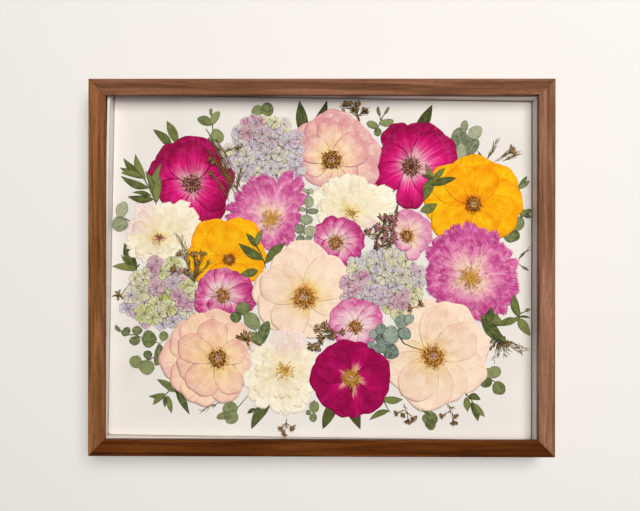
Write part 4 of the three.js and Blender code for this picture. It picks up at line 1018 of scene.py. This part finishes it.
# %% Eucalyptus
EUCALYPTUS = {  # leaves, stems
    "eucalyptus_upper_left": (
        [(-129, 168, -146, 175, 11), (-129, 168, -120, 183, 9), (-127, 162, -117, 147, 14),
         (-130, 179, -130, 187, 4)],
        [[(-128, 150), (-127, 160), (-129, 171), (-130, 182)], [(-128, 150), (-136, 163)]]),
    "eucalyptus_top_right": (
        [(66, 165, 53, 170, 9), (66, 164, 66, 154, 9), (68, 170, 85, 172, 9), (69, 178, 66, 189, 4),
         (74, 180, 79, 189, 3.5)],
        [[(66, 156), (66, 164), (70, 172), (68, 180)], [(70, 174), (76, 183)]]),
    "eucalyptus_corner": (
        [(168, 138, 160, 164, 21), (174, 152, 187, 165, 15), (166, 158, 169, 173, 9),
         (166, 128, 184, 150, 15), (159, 124, 164, 146, 13)],
        [[(160, 124), (172, 146), (180, 158)]]),
    "eucalyptus_right": (
        [(204, 42, 220, 48, 12), (214, 36, 233, 38, 17), (221, 50, 238, 55, 17), (234, 60, 240, 68, 7),
         (240, 64, 246, 68, 6), (238, 61, 246, 59, 5)],
        [[(205, 40), (218, 44), (228, 53), (238, 62), (242, 65)]]),
    "eucalyptus_left": (
        [(-238, 58, -231, 77, 14), (-228, 53, -246, 47, 18)],
        [[(-238, 60), (-230, 57), (-221, 50)]]),
    "eucalyptus_left_row": (
        [(-236, -76, -243, -70, 5), (-233, -81, -226, -71, 9), (-217, -80, -217, -69, 12),
         (-213, -84, -226, -88, 11), (-203, -95, -204, -74, 17), (-186, -87, -185, -75, 11)],
        [[(-242, -68), (-232, -79), (-217, -80), (-204, -86), (-188, -90), (-186, -84)]]),
    "eucalyptus_left_low": (
        [(-211, -111, -226, -111, 15), (-201, -108, -208, -99, 10), (-204, -109, -205, -127, 18),
         (-194, -116, -190, -90, 11)],
        [[(-212, -111), (-202, -109), (-193, -104)]]),
    "eucalyptus_bottom_left": (
        [(-98, -165, -116, -168, 17), (-100, -170, -111, -183, 14), (-105, -174, -123, -177, 9)],
        [[(-110, -176), (-98, -165), (-86, -151)]]),
    "eucalyptus_bottom_right": (
        [(127, -186, 130, -169, 18), (124, -180, 132, -190, 12), (132, -171, 116, -166, 4)],
        [[(118, -166), (130, -171), (128, -182)]]),
    "eucalyptus_right_low": (
        [(198, -128, 210, -118, 14), (192, -131, 198, -118, 12), (200, -131, 187, -138, 12),
         (204, -134, 214, -148, 15)],
        [[(190, -128), (199, -131), (207, -136)]]),
    "eucalyptus_silver_spray": (
        [(-15, 87, -10, 92, 6), (-15, 88, -24, 92, 4), (-14, 70, -14, 84, 11), (-17, 67, -27, 69, 5),
         (-17, 66, -3, 66, 7), (-18, 50, -17, 62, 16), (-20, 42, -31, 48, 12), (-20, 41, -6, 45, 13),
         (-21, 31, -30, 34, 11), (-21, 33, -10, 35, 5)],
        [[(-15, 92), (-16, 80), (-17, 66), (-20, 46), (-21, 31)]]),
    "eucalyptus_green_centre": (
        [(-90, -56, -95, -41, 17), (-94, -56, -107, -60, 13), (-74, -72, -89, -54, 17),
         (-71, -90, -62, -63, 13), (-71, -91, -82, -76, 11)],
        [[(-95, -50), (-86, -62), (-76, -75), (-70, -92)]]),
    "eucalyptus_blue": (
        [(66, -78, 56, -80, 12), (74, -79, 67, -66, 13), (76, -80, 65, -89, 15), (64, -90, 54, -92, 9),
         (84, -90, 82, -68, 19), (74, -92, 90, -104, 18), (92, -71, 98, -55, 16),
         (98, -65, 108, -56, 11), (90, -74, 105, -82, 14), (76, -92, 63, -98, 12)],
        [[(106, -56), (95, -68), (84, -80), (74, -92), (62, -90)], [(84, -80), (64, -78)],
         [(88, -76), (98, -90), (118, -97)]]),
}
print(len(EUCALYPTUS), "eucalyptus sprigs")

# %% Ruscus and waxflower
RUSCUS = {  # leaves, stems
    "ruscus_upper_left": (
        [(-170, 146, -182, 172, 11), (-176, 141, -198, 162, 10)],
        [[(-178, 143), (-168, 147)]]),
    "ruscus_left": (
        [(-217, -2, -232, 28, 12), (-216, -3, -246, 1, 9), (-224, 2, -236, 15, 3)],
        [[(-214, 3), (-218, -2), (-226, 4)]]),
    "ruscus_bottom_left": (
        [(-168, -147, -193, -132, 9), (-171, -138, -155, -173, 9)],
        [[(-171, -138), (-166, -150)]]),
    "ruscus_bottom_right": (
        [(170, -152, 172, -169, 8), (173, -150, 187, -155, 8), (176, -158, 184, -180, 9),
         (179, -159, 192, -175, 7)],
        [[(169, -147), (174, -153), (181, -162)], [(174, -153), (169, -155)]]),
    "ruscus_left_spray": (
        [(-207, 103, -219, 133, 9), (-213, 108, -233, 128, 8), (-211, 108, -237, 117, 8),
         (-210, 105, -236, 111, 7), (-203, 93, -236, 107, 9), (-197, 80, -228, 83, 9),
         (-200, 84, -222, 88, 5), (-197, 85, -188, 122, 9), (-196, 80, -207, 113, 8),
         (-194, 76, -189, 106, 9)],
        [[(-214, 112), (-206, 100), (-200, 88), (-194, 73)]]),
    "ruscus_centre": (
        [(-68, 9, -97, 28, 11), (-66, 5, -42, 29, 11), (-76, 24, -88, 40, 7), (-76, 25, -69, 45, 7)],
        [[(-77, 28), (-68, 9), (-65, -1)]]),
    "ruscus_right": (
        [(232, -58, 226, -31, 10), (231, -59, 245, -80, 11), (231, -60, 204, -68, 9),
         (212, -64, 186, -58, 13), (194, -66, 200, -46, 10), (188, -60, 216, -88, 14)],
        [[(206, -67), (232, -57), (234, -64)]]),
    "ruscus_orange": (
        [(130, 97, 122, 122, 7), (129, 104, 121, 79, 12), (129, 97, 158, 105, 9),
         (131, 102, 145, 117, 7), (131, 104, 117, 108, 4)],
        [[(130, 94), (131, 104), (128, 112)]]),
}
WAXFLOWERS = {  # leaves, stems, buds
    "waxflower_upper_left": (
        [],
        [[(-133, 152), (-122, 140), (-114, 120), (-107, 100), (-99, 92)],
         [(-128, 148), (-119, 130), (-110, 112), (-99, 92)], [(-132, 112), (-122, 102), (-111, 82)],
         [(-130, 125), (-119, 118), (-107, 100)], [(-124, 150), (-113, 132), (-104, 112), (-98, 100)],
         [(-134, 138), (-122, 122), (-112, 104), (-104, 90)], [(-111, 82), (-107, 100)],
         [(-99, 92), (-98, 104), (-94, 116)], [(-99, 92), (-96, 104), (-91, 112)],
         [(-113, 136), (-105, 139), (-98, 140)]],
        [(-127, 122, 4), (-131, 126, 4), (-129, 110, 4), (-98, 140, 4)]),
    "waxflower_left": (
        [],
        [[(-148, -18), (-155, -5), (-158, 10), (-162, 25), (-168, 38)],
         [(-150, -14), (-147, 5), (-150, 16)], [(-149, -15), (-144, 2), (-139, 16)],
         [(-150, -15), (-160, -6), (-175, -2)], [(-149, -15), (-142, -6), (-131, 4)],
         [(-158, 8), (-167, 16)]],
        [(-167, 16, 5), (-149, 15, 6), (-146, 6, 5), (-139, 16, 5), (-173, -2, 6), (-158, -5, 6)]),
    "waxflower_centre": (
        [],
        [[(62, 22), (66, 35), (72, 45), (78, 60)], [(80, 25), (76, 38), (82, 57)],
         [(90, 75), (87, 60), (82, 30), (80, 25)], [(52, 42), (60, 36), (66, 35)], [(66, 25), (80, 25)],
         [(66, 47), (72, 45)]],
        [(74, 58, 8), (83, 57, 8), (76, 43, 8), (66, 47, 7), (55, 42, 6), (84, 33, 7), (73.5, 34, 8),
         (66, 26, 6)]),
}
print(len(RUSCUS), "ruscus sprigs and", len(WAXFLOWERS), "of waxflower")

# %% Small pieces under and over the flowers
# Those that are tucked under the flowers show their ends past them.
TUCKED_UNDER = {
    "eucalyptus_top_pair": (
        [(-75, 176, -74, 191, 14), (-66, 177, -63, 194, 15)],
        [[(-78, 170), (-71, 177), (-64, 170)]]),
    "ruscus_top_a": ([(-19, 150, -26, 196, 14)], [[(-19, 152), (-18, 142)]]),
    "ruscus_top_b": ([(-11, 162, 6.4, 196, 11)], [[(-11, 164), (-13, 156)]]),
    "waxflower_top": (
        [],
        [[(45, 172), (40, 182), (33, 191)], [(43, 178), (52, 184)], [(42, 180), (42, 191)],
         [(28, 178), (22, 189)], [(36, 186), (27, 192)]],
        [(27, 192, 4), (33, 192, 5), (38, 186, 4), (42, 191, 5), (50, 185, 4), (53, 183, 4)]),
    "ruscus_top_right": ([(108, 150, 130, 191, 14)], [[(108, 152), (105, 145)]]),
    "waxflower_upper_right": (
        [],
        [[(194, 126), (200, 136), (205, 147)], [(203, 124), (212, 130), (221, 136)],
         [(213, 125), (230, 133)], [(183, 137), (190, 128)], [(207, 122), (210, 112)]],
        [(224, 137, 7)]),
    "eucalyptus_right_pair": (
        [(231, 94, 241, 107, 5), (230, 93, 244, 102, 5)],
        [[(228, 90), (232, 96)]]),
    "waxflower_right_edge": ([], [[(231, 9), (236, 15), (243, 21)], [(230, 6), (239, -1)]], []),
    "ruscus_right_edge": (
        [(231, -58, 245.5, -59, 3), (239, -51, 245.5, -48, 4)],
        [[(231, -55), (242, -50)]]),
    "waxflower_right_low": (
        [],
        [[(206, -80), (219, -89), (238, -98)], [(206, -80), (196, -91)], [(208, -84), (197, -97)],
         [(211, -84), (218, -100)], [(209, -84), (206, -106)]],
        [(205, -81, 5), (212, -83, 5), (219, -89, 5), (213, -90, 4)]),
    "waxflower_far_left": ([], [[(-222, -17), (-229, -24), (-236, -33)]], [(-238, -33, 6.5)]),
    "ruscus_bottom_left_low": (
        [(-183, -149, -203, -152, 6), (-184, -150, -198, -162, 7), (-181, -151, -176, -172, 7),
         (-183, -151, -184, -165, 5)],
        [[(-174, -142), (-183, -149), (-184, -156)]]),
    "waxflower_bottom_twig": ([], [[(-110, -154), (-126, -162), (-142, -169)]], []),
    "ruscus_bottom_one": (
        [(-60, -158, -82, -190, 13), (-77, -166, -87, -172, 5)],
        [[(-60, -158), (-58, -150)]]),
    "waxflower_bottom_left": (
        [],
        [[(-40.5, -178), (-41, -184), (-43, -197)], [(-41, -182), (-47, -190)],
         [(-41, -182), (-34, -190)]],
        [(-43, -196, 4), (-47, -190, 5), (-34, -189, 5)]),
    "eucalyptus_bottom_small": (
        [(-8, -157, -8, -171, 12), (-9, -171, -9, -182, 9), (-12, -170, -18, -172, 6)],
        [[(-8, -156), (-9, -174)]]),
    "ruscus_bottom_centre": (
        [(20, -154, 2, -190, 14), (33, -152, 46, -190, 14)],
        [[(20, -155), (24, -148)]]),
    "ruscus_bottom_plum": (
        [(72, -154, 96, -155, 9), (80, -168, 57, -179, 7)],
        [[(70, -150), (75, -160), (81, -170)]]),
    "waxflower_bottom_centre": (
        [],
        [[(97, -160), (101, -171), (102, -181)], [(100, -169), (96, -174)], [(101, -171), (108, -177)],
         [(99, -167), (88, -171)]],
        [(96, -173, 4), (102, -181, 5), (108, -177, 5), (88, -171, 4)]),
    "waxflower_bottom_right": (
        [],
        [[(145, -154), (154, -171), (156, -182)], [(152, -168), (141, -174)],
         [(150, -164), (157, -164)]],
        [(158, -174, 4), (156, -182, 5), (141, -174, 4)]),
    "ruscus_bottom_tip": ([(115, -163, 127, -172, 7)], []),
}
LAID_OVER = {
    "ruscus_over_rosette": ([(-74, -4, -95, -8, 10)], []),
    "ruscus_over_orange": ([(116, 66, 136, 75, 11)], []),
    "waxflower_over_hydrangea": (
        [],
        [[(100, -51), (109, -47), (116, -43)]],
        [(117, -43, 5), (104, -48, 5)]),
    "waxflower_over_cream": (
        [],
        [[(-90, -82), (-86, -91), (-83, -98)], [(-90, -82), (-80, -87), (-73, -90)]],
        [(-91, -81, 9), (-84, -84, 5)]),
    "waxflower_centre_low": (
        [],
        [[(25, -76), (12, -76), (3, -67)], [(12, -76), (-5, -72)], [(13, -79), (0, -83)],
         [(4, -82), (-5, -94)], [(-3, -88), (-12, -93)], [(12, -76), (13, -81)]],
        [(-5, -72, 6), (3, -67, 6), (0, -83, 7), (13, -81, 6), (-5, -94, 7), (-12, -93, 6),
         (25, -76, 5)]),
}
print(len(TUCKED_UNDER) + len(LAID_OVER), "small pieces without a solid")

# %% [markdown]
# ### How a sprig is made
# A leaf is a sheet like a petal, pointed at both ends or round. A twig is a rod that rises and falls with
# what it lies on, with thin needles on both sides. A bud is a small cup with a fan of bracts and petals,
# pressed from its side.

# %% Leaves, stems and buds as meshes
LEAF_THICK = 0.3
STEM, TWIG, SIDE_TWIG = 0.75, 0.42, 0.3  # radius at the foot: of a leafy stem, of a twig, of a thin twig
# Needles: the space between them, their least and most length, and their least and most angle in radians.
SHORT_NEEDLES = (1.9, (3, 6), (0.35, 0.9))
LONG_NEEDLES = {
    "waxflower_left": (1.7, (6, 10), (0.45, 0.85)),
    "waxflower_upper_left": (2.4, (6, 11), (0.06, 0.25)),
    "waxflower_upper_right": (0.9, (6, 10), (0.2, 0.6)),
    "waxflower_right_edge": (1.0, (5, 9), (0.15, 0.5)),
    "waxflower_far_left": (6, (4, 6), (0.3, 0.8)),
    "waxflower_bottom_twig": (1.6, (4, 8), (0.3, 0.8)),
}
BUNCHED = ("waxflower_upper_left", "waxflower_left", "waxflower_centre", "waxflower_centre_low",
           "waxflower_right_low", "waxflower_top")
OPEN_BUD = "waxflower_far_left"  # the one that is pressed from the front, so its petals go all round
SIDE_FAN, OPEN_FAN = 110, 300  # degrees that a bud's petals spread over


def leaf(pile, base_x, base_z, tip_x, tip_z, width, pointed):
    """Half width = width/2 x sin(half turn x along^p)^q, with p 0.85 and q 0.9 for a pointed leaf, and 0.95
    and 0.5 for a round one."""
    length = np.hypot(tip_x - base_x, tip_z - base_z)
    ahead = np.array([tip_x - base_x, tip_z - base_z]) / length
    rows = int(np.clip(length, 9, 19))
    across = np.sin(np.pi / 2 * np.linspace(-1, 1, 9))
    across, along = np.meshgrid(across, np.linspace(0, 1, rows))
    half = np.sin(np.pi * along ** (0.85 if pointed else 0.95)) ** (0.9 if pointed else 0.5)
    half = np.maximum(half, 0.03) * width / 2 * (1 + 0.04 * np.sin(9 * along + rng.uniform(0, 6)))
    sway = rng.uniform(-0.08, 0.08) * length * np.sin(np.pi * along)
    out, side = along * length, across * half + sway
    x = base_x + out * ahead[0] + side * ahead[1]
    z = base_z + out * ahead[1] - side * ahead[0]
    rim = np.minimum((1 - np.abs(across)) * half, np.minimum(along, 1 - along) * length + 0.3)
    folds = 0.15 * np.exp(-(across / 0.2) ** 2)
    folds += 0.1 * (1 + np.sin(5 * along + 3 * across + rng.uniform(0, 6)))
    sheet(pile, x, z, folds, LEAF_THICK, across, along, rim, 0, rng.random(), reach=2)


def needles(pile, x, z, spacing, lengths, splay):
    """Thin pointed leaves that leave a stem forwards on both sides, each bending back towards it by a quarter
    of a radian."""
    ahead = np.arctan2(np.gradient(z), np.gradient(x))
    count = max(2, int(np.hypot(x[-1] - x[0], z[-1] - z[0]) / spacing))
    foot = np.sort(rng.uniform(0.05, 0.98, count)) * (len(x) - 1)
    at = foot.astype(int)
    share = foot - at
    side = rng.choice([-1, 1], count)
    angle = ahead[at] + side * rng.uniform(*splay, count)
    length = rng.uniform(*lengths, count)
    out = np.linspace(0, 1, 4)[None, :] * length[:, None]
    turned = angle[:, None] - side[:, None] * 0.25 * out / length[:, None]
    foot_x = x[at] * (1 - share) + x[at + 1] * share
    foot_z = z[at] * (1 - share) + z[at + 1] * share
    path_x = foot_x[:, None] + out * np.cos(turned)
    path_z = foot_z[:, None] + out * np.sin(turned)
    height = read_map(ground, path_x, path_z, 1, np.max) + 0.35
    radii = np.array([0.2, 0.3, 0.26, 0.08]) * np.ones((count, 1))
    rods(pile, np.stack([path_x, height, path_z], -1), radii, 4, 3)


def stem(pile, line, radius, needled):
    """A rod through a line of points, smoothed, that follows the height of what it lies on and thins to half.
    needled is None for a bare one, or the spacing, lengths and splay of its needles."""
    line = np.array(line, float)
    walked = np.concatenate([[0], np.cumsum(np.hypot(*np.diff(line, axis=0).T))])
    at = np.linspace(0, walked[-1], max(5, int(walked[-1] / 1.5)))
    x, z = np.interp(at, walked, line[:, 0]), np.interp(at, walked, line[:, 1])
    if len(line) > 2:
        soft = np.array([0.25, 0.5, 0.25])
        for _ in range(3):
            x[1:-1], z[1:-1] = np.convolve(x, soft, "valid"), np.convolve(z, soft, "valid")
    wobble = 0.25 * np.sin(at * 0.5 + rng.uniform(0, 6)) * np.sin(np.pi * at / at[-1])
    x, z = x + wobble, z + wobble
    radii = radius * (1 - 0.5 * at / at[-1])
    height = read_map(ground, x, z, 2, np.max) + radii * 0.9
    rods(pile, np.stack([x, height, z], -1)[None], radii[None], 6, 1)
    if needled:
        needles(pile, x, z, *needled)
    write_map(np.stack([x, x]), np.stack([z, z]), np.stack([height + radii, height + radii]))


def bud(pile, x, z, wide, ahead, spread):
    """A dried flower: a cup on the twig and, from it, pointed bracts and blunt petals in a fan that is spread
    degrees wide about the direction ahead."""
    forwards = np.array([np.cos(np.radians(ahead)), np.sin(np.radians(ahead))])
    foot = np.array([x, z]) - forwards * wide * (0.45 if spread < 180 else 0)
    for angle in ahead + np.linspace(-0.5, 0.5, 6) * spread + rng.uniform(-6, 6, 6):
        petal(pile, foot, angle, wide * rng.uniform(0.9, 1.25), wide * 0.2, claw=0.4, grid=(5, 7),
              inner=0.3, fullness=1.6, pleat=0.05, finish=2)
    for angle in ahead + np.linspace(-0.4, 0.4, 4) * spread + rng.uniform(-6, 6, 4):
        petal(pile, foot, angle, wide * rng.uniform(0.7, 0.95), wide * 0.27, claw=0.3, grid=(7, 7),
              inner=0.3, fullness=1.1, pleat=0.08)
    share = np.linspace(-0.15, 0.45, 6)[:, None]
    path = foot + share * wide * forwards
    path = np.stack([path[:, 0], np.full(6, highest(foot, 2) + 0.1), path[:, 1]], -1)
    rods(pile, path[None], wide * np.array([[0.06, 0.11, 0.15, 0.15, 0.1, 0.04]]), 8, 2, flat=0.5)


def heading(x, z, stems):
    """Direction in degrees, at the end of a stem that is nearest to a bud, from the point before it on to
    the bud."""
    ends = [(line[k], line[j]) for line in stems for k, j in ((0, 1), (-1, -2))]
    before = min(ends, key=lambda pair: np.hypot(x - pair[0][0], z - pair[0][1]))[1]
    return np.degrees(np.arctan2(z - before[1], x - before[0]))


def lay_sprig(name, leaves, stems, buds=(), node=None):
    """One branch: its stems, then the leaves over them, then the buds. A bunched one has two thin stems
    beside each of its own. The map takes the needles only when the branch is whole."""
    cover[:] = 0
    pile = Pile()
    kind = name.split("_")[0]
    waxy = kind == "waxflower"
    needled = LONG_NEEDLES.get(name, SHORT_NEEDLES) if waxy else None
    for line in stems:
        stem(pile, line, TWIG if waxy else STEM, needled)
        for aside in (-3, 3) if name in BUNCHED else ():
            shift = np.linspace(0.2, 1, len(line))[:, None] * aside * rng.uniform(0.6, 1.2, 2)
            stem(pile, np.array(line) + shift, SIDE_TWIG, None if name in LONG_NEEDLES else needled)
    for one in leaves:
        leaf(pile, *one, kind == "ruscus")
    for x, z, wide in buds:
        bud(pile, x, z, wide * 1.15, heading(x, z, stems), OPEN_FAN if name == OPEN_BUD else SIDE_FAN)
    for points in pile.points:
        np.maximum.at(ground, cell_of(points[:, 0], points[:, 2]), points[:, 1])
    blade = OTHER_BLADE.get(name, USUAL_BLADE[kind])
    return make(name + "_dried", pile, [blade, BROWN_TWIG if waxy else GREEN_TWIG, BUD, NEEDLE], node)


print("needles on", len(LONG_NEEDLES), "long-needled twigs")

# %% [markdown]
# ## Laying everything
# First come the small pieces whose ends show past the flowers. The rest follow in the order of their solids:
# greenery under the flowers, then the flowers, then the sprigs over them. The last small pieces go on top.

# %% Lay the flowers and sprigs
LAYING_ORDER = [
    "eucalyptus_upper_left", "eucalyptus_top_right", "eucalyptus_corner", "eucalyptus_right",
    "eucalyptus_left", "eucalyptus_left_row", "eucalyptus_left_low", "eucalyptus_bottom_left",
    "eucalyptus_bottom_right", "eucalyptus_right_low", "ruscus_upper_left", "ruscus_left",
    "ruscus_bottom_left", "ruscus_bottom_right", "rose_magenta_left", "rose_magenta_right",
    "rose_blush_top", "hydrangea_top", "carnation_white_left", "carnation_white_top", "hydrangea_left",
    "carnation_pink_top", "rose_orange_left", "rose_orange_right", "rosette_pink_left",
    "rosette_pink_centre", "carnation_pink_right", "rose_blush_left", "ruscus_centre",
    "eucalyptus_silver_spray", "ruscus_right", "rose_cream_centre", "hydrangea_right",
    "rosette_pink_right", "rose_cream_right", "carnation_white_bottom", "rosette_pink_bottom",
    "rose_plum", "ruscus_left_spray", "ruscus_orange", "eucalyptus_green_centre", "eucalyptus_blue",
    "waxflower_upper_left", "waxflower_left", "waxflower_centre"]
SPRIGS = {**EUCALYPTUS, **RUSCUS, **WAXFLOWERS}
laid = [lay_sprig(name, *sprig) for name, sprig in TUCKED_UNDER.items()]
for name in LAYING_ORDER:
    if name in ROSES:
        laid.append(lay_rose(name))
    elif name in CARNATIONS:
        laid.append(lay_carnation(name))
    elif name in HYDRANGEAS:
        laid.append(lay_hydrangea(name))
    else:
        laid.append(lay_sprig(name, *SPRIGS[name], node=name))
laid += [lay_sprig(name, *sprig) for name, sprig in LAID_OVER.items()]
print(len(laid), "pieces laid,", sum(len(piece.data.polygons) for piece in laid) * 2, "triangles,",
      round(float(ground.max()), 1), "mm high at most")

# %% [markdown]
# ## Wall and floor
# The picture hangs on a pale wall over a pale floor. The wall is see-through from behind, so that the back
# of the frame can be looked at. The floor isn't mirrored in the glass.

# %% The room
def panel(name, width, height, material):
    """A flat rectangle about the origin, facing up, that isn't part of the object."""
    mesh = bpy.data.meshes.new(name)
    x, y = width / 2, height / 2
    mesh.from_pydata([(-x, -y, 0), (x, -y, 0), (x, y, 0), (-x, y, 0)], [], [(0, 1, 2, 3)])
    mesh.materials.append(material)
    made = bpy.data.objects.new(name, mesh)
    bpy.context.collection.objects.link(made)
    return made


plaster = start("pale_wall_paint")
front = put(plaster, "BsdfDiffuse", {"Color": "#e9e5e0"})["BSDF"]
clear = put(plaster, "BsdfTransparent")["BSDF"]
behind = put(plaster, "NewGeometry")["Backfacing"]
either = put(plaster, "MixShader", {0: behind, 1: front, 2: clear})["Shader"]
put(plaster, "OutputMaterial", {"Surface": either})
wall = panel("wall", 5.0, 4.0, plaster)
wall.rotation_euler = (np.pi / 2, 0, 0)
wall.location = (0, 0.0026, 0)
wall.visible_shadow = False

floor_paint = start("pale_floor")
surface(floor_paint, Base_Color="#e9e6e0", Roughness=0.9)
floor = panel("floor", 8.0, 8.0, floor_paint)
floor.location = (0, 0, -0.6)
floor.visible_glossy = False
floor.visible_transmission = False
floor.visible_diffuse = False
print("wall and floor in place")

# %% [markdown]
# ## Light
# Two large soft panels light the picture from the front, the stronger one from the upper right, and a third
# lights its back. One lamp near the camera would do, but the frame's sides would then throw no shade on the
# board. The front ones aren't mirrored, so that the glass stays clear.

# %% Light
def soft_light(name, place, size, power, colour="#ffffff", mirrored=False):
    """A square panel of light that faces the middle of the picture. Shiny things mirror it only if asked."""
    lamp = bpy.data.lights.new(name, "AREA")
    lamp.shape = "SQUARE"
    lamp.size = size
    lamp.energy = power
    lamp.color = linear(colour)[:3]
    made = bpy.data.objects.new(name, lamp)
    made.location = place
    x, y, z = place
    made.rotation_euler = (np.arctan2(np.hypot(x, y), z), 0, np.arctan2(x, -y))
    made.visible_glossy = mirrored
    made.visible_transmission = False
    bpy.context.collection.objects.link(made)


soft_light("key", (1.2, -3.2, 1.5), 2.4, 136, "#fffefc")
soft_light("fill", (-0.1, -3.0, 0.1), 1.6, 29, "#fffefd")
soft_light("behind", (0.8, 2.2, 1.2), 1.6, 60, mirrored=True)

world = bpy.data.worlds.new("studio")
world.use_nodes = True
world.node_tree.nodes.clear()
bpy.context.scene.world = world
seen = put(world, "LightPath")["Is Camera Ray"]
pale = put(world, "Background", {"Color": "#eceae6", "Strength": 0.9})["Background"]
faint = put(world, "Background", {"Color": "#ffffff", "Strength": 0.07})["Background"]
sky = put(world, "MixShader", {0: seen, 1: faint, 2: pale})["Shader"]
put(world, "OutputWorld", {"Surface": sky})
print("three lamps and a faint sky")

# %% [markdown]
# ## Camera
# The camera is nearly level with the middle of the picture and close to it, with a wide lens, so the inner
# sides of the frame are seen.

# %% Camera
camera = bpy.data.cameras.new("camera")
camera.lens = 28.806
camera.sensor_width = 36
eye = bpy.data.objects.new("camera", camera)
eye.location = (0.0013, -0.6156, 0.0141)
eye.rotation_euler = np.radians([90 - 0.018, -0.075, 0.274])
bpy.context.collection.objects.link(eye)
bpy.context.scene.camera = eye
bpy.context.scene.view_settings.view_transform = "Standard"
